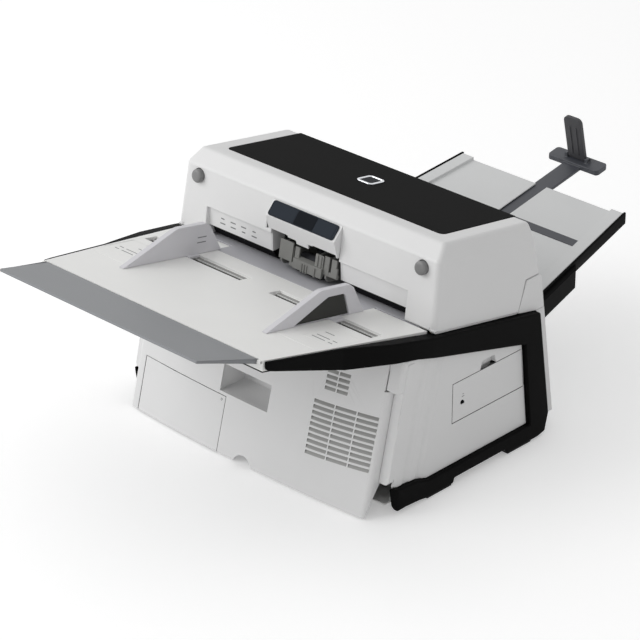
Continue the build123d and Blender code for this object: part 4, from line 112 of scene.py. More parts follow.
class ScannerSizes(bpy.types.PropertyGroup):
    """Sizes of the finish and of the view."""

    casing_round: size_property("Casing edges", 0.9, "Rounding of the white casing's edges")
    frame_round: size_property("Frame edges", 2.2, "Rounding of the black side frames' edges")
    fine_round: size_property("Fine edges", 0.4, "Rounding of small moulded edges")
    door_round: size_property("Front door edges", 0.2, "Rounding of the front door's edges")
    badge_rim: size_property("Badge rim", 3.2, "Width of the badge's plated rim")
    badge_sink: size_property("Badge sink", 1.0, "How far the badge's inset lies below its rim")
    knob_radius: size_property("Knob radius", 8.4, "Radius of a release knob")
    lens: FloatProperty(name="Lens", description="Focal length of the camera in millimetres",
                        default=160.56, min=1.0)
    camera_distance: size_property("Camera distance", 3454.0, "From the camera to the scanner")
    camera_turn: angle_property("Camera turn", 43.86, "Camera angle round the scanner")
    camera_rise: angle_property("Camera rise", 27.32, "Camera angle above the floor")


class ScannerColours(bpy.types.PropertyGroup):
    """Colours of the mouldings."""

    casing: colour_property("Casing", "#e2e2e2", "Light grey-white of the casing")
    deck: colour_property("Feed deck", "#f1f1ef", "Near white of the feed tray's deck")
    frame: colour_property("Frames", "#0b0b0b", "Black of the side frames")
    charcoal: colour_property("Top plate", "#141414", "Charcoal of the top plate")
    flap: colour_property("Flap", "#828487", "Mid grey of the folding flap")
    guide: colour_property("Guides", "#d6d5d9", "Cool grey of the side guides")
    stacker: colour_property("Stacker", "#d6d7d7", "Light grey of the output stacker")
    slate: colour_property("Stopper", "#3f4147", "Slate of the stopper")


# Materials


def add_node(tree, kind, settings=None, links=None):
    """Adds a shader node, sets its properties and inputs, and links its inputs.

    An input goes by its name, or by its number on nodes that repeat a name.
    """
    node = tree.nodes.new(kind)
    for key, value in (settings or {}).items():
        if isinstance(key, str) and hasattr(node, key):
            setattr(node, key, value)
        else:
            node.inputs[key].default_value = value
    for key, socket in (links or {}).items():
        tree.links.new(socket, node.inputs[key])
    return node


def new_material(name, base, settings=None):
    """Material with a Principled shader, and object coordinates for its patterns."""
    material = bpy.data.materials.new(name)
    material.use_nodes = True
    tree = material.node_tree
    tree.nodes.clear()
    shader = add_node(tree, "ShaderNodeBsdfPrincipled", settings)
    shader.inputs["Base Color"].default_value = [*base, 1.0]
    add_node(tree, "ShaderNodeOutputMaterial", links={"Surface": shader.outputs[0]})
    place = add_node(tree, "ShaderNodeTexCoord").outputs["Object"]
    material.diffuse_color = [*base, 1.0]
    return material, tree, shader, place


def cloudy(tree, place, shader, base, spread, cell):
    """Slow drift of the base colour, as resin and pigment give over a moulding."""
    cloud = add_node(tree, "ShaderNodeTexNoise", {"Scale": 1 / cell, "Detail": 3.0},
                     {"Vector": place})
    low = [channel * (1 - spread) for channel in base] + [1.0]
    high = [min(1.0, channel * (1 + spread)) for channel in base] + [1.0]
    shade = add_node(tree, "ShaderNodeMix", {"data_type": "RGBA", 6: low, 7: high},
                     {0: cloud.outputs["Fac"]})
    tree.links.new(shade.outputs[2], shader.inputs["Base Color"])


def grained(tree, place, shader, cell, depth, rough, spread):
    """Fine relief and gloss from one noise, whose cell is given in metres.

    Real grain and rolling lines of about 0.1 mm are too fine to show in the render,
    so the finishes below draw them several times coarser, as coarse as they need to show.
    """
    grain = add_node(tree, "ShaderNodeTexNoise",
                     {"Scale": 1 / cell, "Detail": 2.0, "Roughness": 0.6}, {"Vector": place})
    gloss = add_node(tree, "ShaderNodeMapRange", {3: rough - spread, 4: rough + spread},
                     {0: grain.outputs["Fac"]})
    tree.links.new(gloss.outputs[0], shader.inputs["Roughness"])
    bump = add_node(tree, "ShaderNodeBump", {"Strength": 0.6, "Distance": depth},
                    {"Height": grain.outputs["Fac"]})
    tree.links.new(bump.outputs[0], shader.inputs["Normal"])


def moulded(name, base, grain, depth, rough, drift=0.02, settings=None):
    """Injection-moulded plastic: spark-eroded grain over a faint drift of colour."""
    material, tree, shader, place = new_material(name, base, settings)
    cloudy(tree, place, shader, base, drift, 60 * MM)
    grained(tree, place, shader, grain * MM, depth * MM, rough, 0.07)
    return material


def rolled_metal(name, code, rough, line):
    """Rolled or turned metal: fine lines along X in relief and gloss."""
    base = colour(code)
    material, tree, shader, place = new_material(name, base, {"Metallic": 1.0})
    cloudy(tree, place, shader, base, 0.05, 25 * MM)
    drawn = add_node(tree, "ShaderNodeMapping", {"Scale": (0.05, 1.0, 1.0)}, {"Vector": place})
    grained(tree, drawn.outputs[0], shader, line * MM, 0.02 * MM, rough, 0.12)
    return material


def rubber(name, code):
    """Ground rubber: matt, with a sandy grain and little sheen."""
    base = colour(code)
    material, tree, shader, place = new_material(name, base, {"Specular IOR Level": 0.3})
    cloudy(tree, place, shader, base, 0.12, 12 * MM)
    grained(tree, place, shader, 0.7 * MM, 0.06 * MM, 0.85, 0.08)
    return material


def float_glass(name):
    """Polished glass with a green cast and a breath of haze."""
    material, tree, shader, place = new_material(
        name, colour("#e2efeb"), {"Transmission Weight": 1.0, "IOR": 1.52})
    haze = add_node(tree, "ShaderNodeTexNoise", {"Scale": 1 / (25 * MM), "Detail": 4.0},
                    {"Vector": place})
    gloss = add_node(tree, "ShaderNodeMapRange", {3: 0.02, 4: 0.08}, {0: haze.outputs["Fac"]})
    tree.links.new(gloss.outputs[0], shader.inputs["Roughness"])
    return material


def circuit_board(name):
    """Solder mask: green lacquer over rows of copper tracks, which show as lighter lines.

    The tracks are drawn wider and further apart than real ones, so that they show.
    """
    base = colour("#1d5a35")
    material, tree, shader, place = new_material(name, base, {"Coat Weight": 0.4, "Roughness": 0.4})
    turned = add_node(tree, "ShaderNodeMapping", {"Rotation": (pi / 2, 0.0, 0.0)},
                      {"Vector": place})
    tracks = add_node(tree, "ShaderNodeTexBrick",
                      {"Scale": 1 / (12 * MM), "Mortar Size": 0.03, "Color1": [*base, 1.0],
                       "Color2": [*colour("#23653d"), 1.0], "Mortar": [*colour("#468f5f"), 1.0]},
                      {"Vector": turned.outputs[0]})
    tree.links.new(tracks.outputs["Color"], shader.inputs["Base Color"])
    return material


# Blacks stay deep under the soft lamp with this little reflection.
LOW_SHEEN = {"Specular IOR Level": 0.03}


def make_materials(hue):
    """Every finish of the scanner, by the name its pieces ask for."""
    return {
        # ABS in light grey-white, spark-eroded tool: an even satin that hides finger marks.
        "casing": moulded("ABS_grey_white", hue.casing, 0.9, 0.05, 0.48),
        # The same ABS from a smoother tool face, on the deck of the feed tray.
        "deck": moulded("ABS_deck_white", hue.deck, 0.7, 0.03, 0.4),
        # PC and ABS blend in black, coarser grain: dark, with soft lights on its edges.
        "frame": moulded("PC_ABS_black", hue.frame, 0.9, 0.06, 0.46, 0.1, LOW_SHEEN),
        # ABS in charcoal with a very fine matt grain, so it shows no lamp.
        "charcoal": moulded("ABS_charcoal_matt", hue.charcoal, 0.6, 0.04, 0.66, 0.04, LOW_SHEEN),
        # ABS in mid grey, satin.
        "flap": moulded("ABS_mid_grey", hue.flap, 0.8, 0.05, 0.44),
        # ABS in a cool light grey, satin.
        "guide": moulded("ABS_cool_grey", hue.guide, 0.7, 0.04, 0.42),
        # ABS in dark grey, matt: the insert reads as a shadow on the guide.
        "insert": moulded("ABS_dark_grey", colour("#454543"), 0.7, 0.05, 0.55, settings=LOW_SHEEN),
        # ABS in light grey, a touch darker than the casing.
        "stacker": moulded("ABS_light_grey", hue.stacker, 0.8, 0.05, 0.46),
        # Polyacetal in mid grey: slightly waxy, with a broad soft highlight.
        "button": moulded("POM_mid_grey", colour("#7c7c7c"), 0.6, 0.02, 0.36),
        # Glass-filled nylon: warm grey with a dull, slightly cloudy skin.
        "mechanism": moulded("PA_glass_filled_grey", colour("#7a7a77"), 0.6, 0.06, 0.5, 0.06),
        # ABS in slate, satin.
        "slate": moulded("ABS_slate", hue.slate, 0.8, 0.05, 0.44),
        # The same ABS with more black in it, for the stopper's blade.
        "blade": moulded("ABS_graphite", colour("#38383b"), 0.8, 0.05, 0.5),
        # Smoked acrylic over a printed slate ground: smooth and glossy.
        "bezel": moulded("PMMA_smoked_slate", colour("#30353c"), 1.5, 0.008, 0.5, 0.04,
                         LOW_SHEEN),
        # Smoked acrylic, darker, for the window of the display.
        "window": moulded("PMMA_smoked_black", colour("#171a1f"), 1.5, 0.006, 0.42, 0.04,
                          LOW_SHEEN),
        # PBT in black, matt, for sockets and the fan; also painted shade in the pin hole and the
        # screw recesses.
        "dark": moulded("PBT_black", colour("#19191b"), 0.7, 0.05, 0.5, 0.08, LOW_SHEEN),
        # Polyacetal in light grey, on the smooth entry plate.
        "entry": moulded("POM_light_grey", colour("#bcbcc1"), 0.7, 0.02, 0.42),
        # Painted shade in mid grey, on the floors of the guide channels.
        "channel": moulded("POM_channel_grey", colour("#8a8a88"), 0.7, 0.02, 0.45),
        # Painted shade in the gaps round the doors: dark grey with the matt grain of foam rubber,
        # on the narrow faces of the doors and of their openings.
        "gap_shade": rubber("Rubber_seal_grey", "#3a3a3c"),
        # Pad-printed ink, dull grey.
        "ink": moulded("Ink_pad_printed", colour("#77787a"), 0.5, 0.01, 0.6),
        # Zinc-plated rolled steel: grey, satin, fine rolling lines.
        "steel": rolled_metal("Steel_zinc_plated", "#b9bbbd", 0.36, 1.2),
        # Steel sheet with a pale powder coat, slightly orange-peeled.
        "painted": moulded("Steel_powder_coat_white", hue.deck, 1.4, 0.04, 0.42),
        # Painted shade in mid grey, on the floors and side walls in the throats of the louvres, so
        # that they read as dark slots.
        "louvre_shade": moulded("ABS_throat_grey", colour("#a4a4a2"), 0.7, 0.04, 0.6),
        # Sintered bronze: dull yellow-brown.
        "bronze": rolled_metal("Bronze_sintered", "#a9854a", 0.45, 0.8),
        # ABS with chrome plating, satin: a light rim that mirrors the room.
        "chrome": rolled_metal("Chrome_satin_plated", "#d8dade", 0.2, 0.9),
        # Folded aluminium sheet: light grey, satin, with faint lines.
        "aluminium": rolled_metal("Aluminium_folded", "#c6c8ca", 0.38, 1.0),
        # EPDM rubber in black for feet and belt, dull.
        "rubber": rubber("Rubber_EPDM_black", "#1e1e20"),
        # Softer grey rubber for the tyres of the rollers.
        "tyre": rubber("Rubber_tyre_grey", "#45464a"),
        # Float glass over the sensors: clear, with a green cast.
        "glass": float_glass("Glass_float"),
        # Lacquered board: green with lighter tracks.
        "board": circuit_board("Lacquer_circuit_board"),
    }


MATERIALS = {}


def finish(name):
    """A finish by name, made with the first piece that asks for one."""
    if not MATERIALS:
        MATERIALS.update(make_materials(bpy.context.scene.scanner_colours))
    return MATERIALS[name]


# Modelling helpers


def deselect_all():
    """Object mode with nothing selected."""
    if bpy.context.object and bpy.context.object.mode != "OBJECT":
        bpy.ops.object.mode_set(mode="OBJECT")
    bpy.ops.object.select_all(action="DESELECT")


def pick(piece):
    """Makes a piece the only selected one and the active one."""
    deselect_all()
    piece.select_set(True)
    bpy.context.view_layer.objects.active = piece
    return piece


def edit(piece, mode):
    """Opens a piece in edit mode with nothing selected."""
    pick(piece)
    bpy.ops.object.mode_set(mode="EDIT")
    bpy.ops.mesh.select_all(action="DESELECT")
    bpy.ops.mesh.select_mode(type=mode)


def select_where(piece, kind, test):
    """Selects the faces or edges of the open piece that pass a test."""
    mesh = bmesh.from_edit_mesh(piece.data)
    for element in (mesh.faces if kind == "FACE" else mesh.edges):
        element.select_set(bool(test(element)))
    mesh.select_flush_mode()
    bmesh.update_edit_mesh(piece.data)


def apply_modifiers(piece):
    """Applies every modifier of a piece, in order."""
    pick(piece)
    for modifier in list(piece.modifiers):
        bpy.ops.object.modifier_apply(modifier=modifier.name)


def smooth(piece):
    """Smooth shading that keeps flat faces flat beside rounded edges."""
    pick(piece)
    bpy.ops.object.shade_smooth_by_angle(angle=radians(SMOOTH_ANGLE))
    weighted = piece.modifiers.new("Flat faces first", "WEIGHTED_NORMAL")
    weighted.keep_sharp = True
    apply_modifiers(piece)


def settle(piece, name, body, material):
    """Names a finished piece, paints it and lets it ride on its body."""
    piece.name = name
    piece.data.name = name
    pick(piece)
    bpy.ops.object.transform_apply(location=True, rotation=True, scale=True)
    if len(piece.data.materials) == 0:
        piece.data.materials.append(finish(material))
    smooth(piece)
    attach(piece, body)
    return piece


def softened(node, material, radius, segments=2, split=4):
    """Copy of a frame node with its sharp edges rounded, in the node's place."""
    piece = bpy.data.objects.new("round_" + node, frame["nodes"][node].data.copy())
    bpy.context.scene.collection.objects.link(piece)
    piece.data.materials.clear()
    pick(piece)
    bpy.ops.object.mode_set(mode="EDIT")
    bpy.ops.mesh.select_all(action="SELECT")
    bpy.ops.mesh.remove_doubles(threshold=MERGE_WITHIN * MM)
    bpy.ops.mesh.dissolve_limited(angle_limit=radians(FLAT_ANGLE))
    bpy.ops.mesh.select_mode(type="FACE")
    select_where(piece, "FACE", lambda face: len(face.verts) > split)
    bpy.ops.mesh.quads_convert_to_tris(quad_method="BEAUTY", ngon_method="BEAUTY")
    bpy.ops.object.mode_set(mode="OBJECT")
    bevel = piece.modifiers.new("Edge", "BEVEL")
    bevel.width = radius
    bevel.segments = segments
    bevel.limit_method = "ANGLE"
    bevel.angle_limit = radians(SHARP_ANGLE)
    bevel.use_clamp_overlap = False
    bevel.loop_slide = False
    apply_modifiers(piece)
    settle(piece, "round_" + node, BODY_OF[node], material)
    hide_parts(node)
    return piece


def keep_node(node, material):
    """A frame node whose shape stays and which gets its material."""
    for slot in frame["nodes"][node].material_slots:
        slot.material = finish(material)


def facing(normal, along=(1, 0, 0)):
    """Turn that takes Z to a normal and keeps X near a direction."""
    up = Vector(normal).normalized()
    side = Vector(along)
    side = (side - up * side.dot(up)).normalized()
    return Matrix((side, up.cross(side), up)).transposed().to_euler()


def flat_of(node, toward, spread=25):
    """Middle and normal of a node's outermost flat face that looks about one way."""
    toward = Vector(toward).normalized()
    groups = {}
    for face in frame["nodes"][node].data.polygons:
        if face.area > 0 and face.normal.angle(toward) < radians(spread):
            key = tuple(round(part, 2) for part in face.normal)
            groups.setdefault(key, []).append(face)
    group = max(groups.values(), key=lambda faces: sum(face.area for face in faces))
    normal = group[0].normal.copy()
    same_plane = 0.2 * MM
    reach = max(face.center.dot(normal) for face in group)
    group = [face for face in group if face.center.dot(normal) > reach - same_plane]
    area = sum(face.area for face in group)
    centre = sum((face.center * face.area for face in group), Vector()) / area
    return centre, normal


def onto(centre, normal, point):
    """A point moved along the normal onto the plane."""
    point = Vector(point)
    return point - normal * (point - centre).dot(normal)


def surface(node, start, direction):
    """Point and normal where a line from a start, in millimetres, meets a node."""
    mesh = frame["nodes"][node].data
    tree = BVHTree.FromPolygons([vertex.co for vertex in mesh.vertices],
                                [face.vertices for face in mesh.polygons])
    place, normal = tree.ray_cast(Vector(start) * MM, Vector(direction))[:2]
    if place is None:
        raise RuntimeError(f"The line does not meet {node}")
    return place, normal


def slab(centre, size, normal=(0, 0, 1), along=(1, 0, 0), corner=0.0, edge=0.0):
    """Plate with rounded corners and a rounded upper rim, square to a normal."""
    deselect_all()
    bpy.ops.mesh.primitive_cube_add(size=1.0, location=centre, rotation=facing(normal, along))
    plate = bpy.context.object
    plate.scale = size
    bpy.ops.object.transform_apply(location=False, rotation=False, scale=True)
    top = size[2] / 2
    if corner:
        edit(plate, "EDGE")
        select_where(plate, "EDGE", lambda e: abs(e.verts[0].co.z - e.verts[1].co.z) > top)
        bpy.ops.mesh.bevel(offset=corner, segments=7, affect="EDGES")
    if edge:
        edit(plate, "EDGE")
        select_where(plate, "EDGE", lambda e: min(v.co.z for v in e.verts) > top * 0.999)
        bpy.ops.mesh.bevel(offset=edge, segments=3, affect="EDGES")
    deselect_all()
    return plate


def disc(centre, normal, radius, depth, vertices=40):
    """Round blank with its axis along a normal."""
    deselect_all()
    bpy.ops.mesh.primitive_cylinder_add(vertices=vertices, radius=radius, depth=depth,
                                        location=centre, rotation=facing(normal))
    return bpy.context.object


def step_top(piece, steps):
    """Insets a piece's top face step by step, each as (inward, outward) in millimetres."""
    edit(piece, "FACE")
    top = max(v.co.z for v in bmesh.from_edit_mesh(piece.data).verts)
    select_where(piece, "FACE",
                 lambda f: f.normal.z > 0.9 and f.calc_center_median().z > top - 0.01 * MM)
    for inward, outward in steps:
        bpy.ops.mesh.inset(thickness=inward * MM, depth=outward * MM)
    deselect_all()
    return piece


def print_mark(name, body, place, normal, along, length, width):
    """Thin bar of ink with rounded ends on a surface, sized in millimetres."""
    size = (length * MM, width * MM, INK_THICKNESS * MM)
    bar = slab(place, size, normal, along, 0.4 * width * MM)
    settle(bar, name, body, "ink")


def two_tone(piece, second, test):
    """Gives the faces of a piece that pass a test a second finish."""
    piece.data.materials.append(finish(second))
    number = len(piece.data.materials) - 1
    count = 0
    for face in piece.data.polygons:
        if test(face):
            face.material_index = number
            count += 1
    if not count:
        raise RuntimeError(f"No face of {piece.name} takes the second finish")


# Casing


CASING_FINISH = {
    "front_panel": ("casing", "fine_round", 2), "front_door": ("casing", "door_round", 2),
    "side_panel_left": ("casing", "casing_round", 3),
    "side_panel_right": ("casing", "casing_round", 3),
    "side_door": ("casing", "fine_round", 2), "back_cover": ("casing", "fine_round", 2),
    "hinge_cover_left": ("casing", "casing_round", 3),
    "hinge_cover_right": ("casing", "casing_round", 3),
    "handle_pocket": ("casing", "fine_round", 2), "frame_left": ("frame", "frame_round", 3),
    "frame_right": ("frame", "frame_round", 3), "base_plate": ("painted", "fine_round", 2),
}


def round_all(table):
    """Rounds and finishes every node of a table."""
    sizes = bpy.context.scene.scanner_sizes
    for node, (material, radius, segments) in table.items():
        softened(node, material, getattr(sizes, radius), segments)


class SCANNER_OT_casing(bpy.types.Operator):
    """Round and finish the casing, the side frames and the doors"""

    bl_idname = "scanner.casing"
    bl_label = "Casing"

    def execute(self, context):
        round_all(CASING_FINISH)
        # Painted shade in the throats of the louvres.
        louvre_throat_shade()
        # Painted shade in the gaps round the side door and the front door.
        shade_door_gaps("side_door", "side_panel_right", 0)
        shade_door_gaps("front_door", "front_panel", 1)
        return {"FINISHED"}


class SCANNER_OT_case_details(bpy.types.Operator):
    """Add the screws, feet, lock and small marks of the casing"""

    bl_idname = "scanner.case_details"
    bl_label = "Casing details"

    def execute(self, context):
        softened("rubber_feet", "rubber", 0.4 * MM)
        keep_node("case_screws", "steel")
        keep_node("hinge_pins", "steel")
        door_lock()
        # The latch hole is a black disc, painted shade of a pin hole.
        latch_hole()
        notch_floor()
        screw_recess_shade()
        return {"FINISHED"}


def louvre_throat_shade():
    """Painted shade in mid grey on the throats of the slots in the right part of the front panel.
    """
    x_range, z_range = (90 * MM, 195 * MM), (50 * MM, 160 * MM)
    two_tone(bpy.data.objects["round_front_panel"], "louvre_shade", lambda face: (
        x_range[0] < face.center.x < x_range[1] and z_range[0] < face.center.z < z_range[1]
        and (abs(face.normal.z) > 0.5 or abs(face.normal.x) > 0.9)))


def shade_door_gaps(door, panel, axis):
    """Painted shade on the narrow faces of a door and of the opening round it, to darken the gap
    between them.
    """
    low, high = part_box(door)
    reach = 1.2 * MM
    turned = 0.35
    across = [number for number in range(3) if number != axis]

    def narrow(face):
        return abs(face.normal[axis]) < turned

    def in_opening(face):
        inside = all(low[n] - reach < face.center[n] < high[n] + reach for n in across)
        rim = min(min(abs(face.center[n] - low[n]), abs(face.center[n] - high[n])) for n in across)
        return narrow(face) and inside and rim < reach

    two_tone(bpy.data.objects["round_" + door], "gap_shade", narrow)
    two_tone(bpy.data.objects["round_" + panel], "gap_shade", in_opening)


def notch_floor():
    """Plate behind the finger notch over the side door."""
    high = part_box("side_door")[1]
    notch_y = -5.0 * MM
    place = (high.x - 11 * MM, notch_y, high.z + 3.0 * MM)
    plate = slab(place, (24 * MM, 30 * MM, 1.2 * MM), (1, 0, 0), (0, 0, 1), corner=1.0 * MM)
    settle(plate, "notch_floor", "casing", "casing")


def latch_hole():
    """Painted shade of a pin hole in the upper corner of the front door: a black disc.

    Its middle lies behind the door's face, so it shows as a dark ring.
    """
    hole_x, hole_z = -44.5, 65.5
    place, normal = surface("front_door", (hole_x, FAR_FRONT, hole_z), (0, 1, 0))
    hole = disc(place - normal * 0.3 * MM, normal, radius=1.5 * MM, depth=0.8 * MM, vertices=24)
    step_top(hole, [(0.3, 0.1), (0.3, -0.35)])
    settle(hole, "latch_hole", "front_door_body", "dark")


def screw_recess_shade():
    """Painted shade of cross recesses on the heads of the case screws: thin dark bars.

    Faces are gathered by cells of 30 mm, and these heads lie over the borders of cells,
    so each head gets one recess per cell, beside its middle: two or four of them.
    """
    heads = {}
    apart = 30 * MM
    recess_shade_size = (3.6 * MM, 0.9 * MM, 0.16 * MM)
    for face in frame["nodes"]["case_screws"].data.polygons:
        if face.normal.y > 0.9:
            key = (round(face.center.x / apart), round(face.center.z / apart))
            heads.setdefault(key, []).append(face.center)
    for number, centres in enumerate(heads.values()):
        place = sum(centres, Vector()) / len(centres)
        place.y = max(centre.y for centre in centres)
        for turn, along in (("a", (1, 0, 1)), ("b", (1, 0, -1))):
            # Each dark bar is painted shade in place of a cut recess.
            recess_shade = slab(place, recess_shade_size, (0, 1, 0), along, corner=0.2 * MM)
            settle(recess_shade, f"screw_{number}_{turn}", BODY_OF["case_screws"], "dark")


def door_lock():
    """Round lock on the side door, its middle below its rim, with two ink bars over it."""
    centre, normal = flat_of("side_door", (1, 0, 0))
    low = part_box("side_door")[0]
    lock_in, lock_up = 17.0 * MM, 22.6 * MM
    place = onto(centre, normal, (0, low.y + lock_in, low.z + lock_up))
    lock = disc(place - normal * 0.6 * MM, normal, radius=2.7 * MM, depth=1.6 * MM)
    step_top(lock, [(0.3, 0.2), (0.9, -0.3)])
    settle(lock, "door_lock", "side_door_body", "dark")
    for number, (length, rise) in enumerate(((4.4, 7.5), (2.8, 10.5))):
        mark_place = onto(centre, normal, (0, place.y + 1.0 * MM, place.z + rise * MM))
        mark_size = (length * MM, 0.8 * MM, 0.12 * MM)
        mark = slab(mark_place, mark_size, normal, (0, 1, 0), corner=0.2 * MM)
        settle(mark, f"door_mark_{number}", "side_door_body", "ink")


# Cover


COVER_FINISH = {
    "upper_shell": ("casing", "casing_round", 2), "top_panel": ("charcoal", "fine_round", 2),
    "feeder_shroud": ("casing", "fine_round", 2), "upper_guide_plate": ("dark", "fine_round", 1),
}

# Name, middle and width in millimetres, and finish of each field of the display plate.
DISPLAY_FIELDS = (("left", -31.5, 38.0, "bezel"), ("middle", 4.0, 31.0, "window"),
                  ("right", 35.5, 30.0, "bezel"))

# Steps of a knob's crown from its rim to its middle, as (inward, outward) in millimetres.
CROWN_STEPS = ((0.15, 0.6), (0.45, 0.7), (0.9, 0.6), (1.5, 0.35), (1.9, 0.15), (1.0, 0.0))


class SCANNER_OT_cover(bpy.types.Operator):
    """Round and finish the lift-up cover, its badge, display plate and knobs"""

    bl_idname = "scanner.cover"
    bl_label = "Cover"

    def execute(self, context):
        round_all(COVER_FINISH)
        badge(context.scene.scanner_sizes)
        display_plate()
        for side in ("left", "right"):
            knob(side, context.scene.scanner_sizes)
        keep_node("upper_sensor_unit", "dark")
        keep_node("upper_glass", "glass")
        chute_marks()
        return {"FINISHED"}


def chute_marks():
    """Two rows of short ink bars on the lead-in wall of the cover."""
    columns, rows = (-142.0, -124.0, -106.0, -88.0), (239.0, 232.5)
    places = [(x, z) for z in rows for x in columns]
    width = 1.6
    for number, (x, z) in enumerate(places):
        place, normal = surface("upper_shell", (x, FAR_FRONT, z), (0, 1, 0))
        length = 9.0 if number % 3 else 6.0
        print_mark(f"chute_mark_{number}", "upper_unit", place, normal, (1, 0, 0), length, width)


def badge(sizes):
    """Plated rim with a dark inset plate, bare."""
    low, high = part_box("status_badge")
    centre, normal = flat_of("status_badge", (0, 0.15, 1))
    width = high.x - low.x
    share_of_box = 0.985
    depth = (high.y - low.y) / max(normal.z, 0.5) * share_of_box
    thick = 3.6 * MM
    rim = slab(centre - normal * thick / 2, (width, depth, thick), normal,
               corner=6 * MM, edge=0.9 * MM)
    outer_round = 1.6
    step_top(rim, [(sizes.badge_rim / MM - outer_round, 0), (0.5, -sizes.badge_sink / MM)])
    settle(rim, "badge_rim", "upper_unit", "chrome")
    inset = 2 * sizes.badge_rim
    plate = slab(centre - normal * (sizes.badge_sink - 0.1 * MM),
                 (width - inset, depth - inset, 0.5 * MM), normal, corner=4 * MM, edge=0.2 * MM)
    settle(plate, "badge_inset", "upper_unit", "window")
    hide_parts("status_badge")


def display_plate():
    """Slate display plate on the hood: a rim, and three flush fields."""
    low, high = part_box("bezel_plate")
    centre, normal = flat_of("bezel_plate", (0, -0.7, 0.7), 30)
    width = high.x - low.x
    slant = Vector((0, high.y - low.y, high.z - low.z)).length
    depth = slant - 2.2 * MM
    thick = 1.6 * MM
    plate = slab(centre - normal * thick / 2, (width, depth, thick), normal,
                 corner=3.5 * MM, edge=0.3 * MM)
    step_top(plate, [(0.7, 0), (0.15, -0.35)])
    settle(plate, "display_rim", "upper_unit", "bezel")
    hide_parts("bezel_plate")
    field = depth - 2.6 * MM
    for name, x, wide, material in DISPLAY_FIELDS:
        place = centre + Vector((x * MM, 0, 0)) - normal * 0.25 * MM
        part = slab(place, (wide * MM, field, 0.4 * MM), normal, corner=1.4 * MM, edge=0.15 * MM)
        settle(part, f"display_{name}", "upper_unit", material)


def knob(side, sizes):
    """Domed knob with a shallow ring round its crown."""
    node = "release_button_" + side
    low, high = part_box(node)
    centre, normal = flat_of(node, (0, -1, 0.15), 12)
    top = onto(centre, normal, (low + high) / 2)
    stem = 11.0 * MM
    crown_height = 2.4 * MM
    crown = disc(top - normal * (stem / 2 + crown_height), normal, sizes.knob_radius, stem, 56)
    step_top(crown, CROWN_STEPS)
    settle(crown, "knob_" + side, BODY_OF[node], "button")
    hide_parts(node)


# Feed deck, guides and flap


DECK_FINISH = {
    "feed_tray": ("deck", "fine_round", 2), "tray_pan": ("frame", "casing_round", 2),
    "tray_flap": ("flap", "casing_round", 3), "guide_right": ("guide", "fine_round", 2),
    "guide_left": ("guide", "fine_round", 2), "guide_insert_right": ("insert", "fine_round", 1),
    "guide_insert_left": ("insert", "fine_round", 1), "transport_bed": ("entry", "fine_round", 1),
}


class SCANNER_OT_feed_deck(bpy.types.Operator):
    """Round and finish the feed tray, its flap and the side guides"""

    bl_idname = "scanner.feed_deck"
    bl_label = "Feed deck"

    def execute(self, context):
        round_all(DECK_FINISH)
        # Painted shade on the floors of the guide channels.
        channel_floor_shade()
        keep_node("guide_pinion", "mechanism")
        guide_marks()
        label_marks()
        return {"FINISHED"}


def channel_floor_shade():
    """Painted shade in mid grey on the floors of the two channels that the guides run in."""
    deck, up = surface("feed_tray", (0, -250, FAR_ABOVE), (0, 0, -1))
    deep, shallow = -4.5 * MM, -1.5 * MM
    two_tone(bpy.data.objects["round_feed_tray"], "channel", lambda face: (
        face.normal.dot(up) > 0.95 and deep < (face.center - deck).dot(up) < shallow))


def guide_marks():
    """Two short bars on the inner face of the left guide."""
    deck, up = surface("feed_tray", (-90, -158, FAR_ABOVE), (0, 0, -1))
    along = up.cross((1, 0, 0))
    length, width = 15.0, 1.3
    for number, rise in enumerate((15.0, 21.5)):
        start = (deck + up * rise * MM) / MM
        place, normal = surface("guide_left", start, (-1, 0, 0))
        body = BODY_OF["guide_left"]
        print_mark(f"guide_mark_{number}", body, place, normal, along, length, width)


def label_marks():
    """Ink bars on the two label fields of the deck, as (x, y, length) in millimetres."""
    rows = ((158, -236, 20), (158, -228, 20), (176, -236, 7), (176, -228, 7), (155, -214, 14))
    rows += tuple((-x, y, length) for x, y, length in rows)
    for number, (x, y, length) in enumerate(rows):
        place, normal = surface("feed_tray", (x, y, FAR_ABOVE), (0, 0, -1))
        print_mark(f"label_mark_{number}", "casing", place, normal, (1, 0, 0), length, MARK_WIDTH)


# Feed path


class SCANNER_OT_feed_path(bpy.types.Operator):
    """Finish the rollers, the pick unit, the glass and the drive"""

    bl_idname = "scanner.feed_path"
    bl_label = "Feed path"

    def execute(self, context):
        softened("pick_arm", "mechanism", 0.3 * MM, 2)
        for node in ("feed_roller", "front_drive_roller", "back_drive_roller", "front_idler",
                     "back_idler", "pick_roller"):
            roller(node)
        for node, material in (
                ("lower_glass", "glass"), ("lower_sensor_unit", "dark"), ("inner_plates", "steel"),
                ("shaft_bushes", "bronze"), ("drive_motor", "aluminium"), ("motor_pulley", "steel"),
                ("drive_belt", "rubber")):
            keep_node(node, material)
        return {"FINISHED"}


def roller(node):
    """Roller with ground rubber tyres on a steel shaft."""
    piece = softened(node, "tyre", 0.2 * MM, 1)
    low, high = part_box(node)
    middle = (low + high) / 2
    shaft_share = 0.72
    shaft_reach = shaft_share * (high.z - low.z) / 2
    round_x = Vector((0, 1, 1))
    two_tone(piece, "steel", lambda face: (
        (face.center - middle) * round_x).length < shaft_reach)


# Output stacker


STACKER_FINISH = {
    "stacker_tray": ("stacker", "casing_round", 3), "stacker_trim": ("frame", "casing_round", 3),
    "stacker_strip": ("slate", "fine_round", 1), "stopper_slide": ("slate", "casing_round", 2),
    "stopper_blade": ("blade", "fine_round", 2),
}


class SCANNER_OT_stacker(bpy.types.Operator):
    """Round and finish the output stacker and its stopper"""

    bl_idname = "scanner.stacker"
    bl_label = "Output stacker"

    def execute(self, context):
        round_all(STACKER_FINISH)
        return {"FINISHED"}


# Electrics


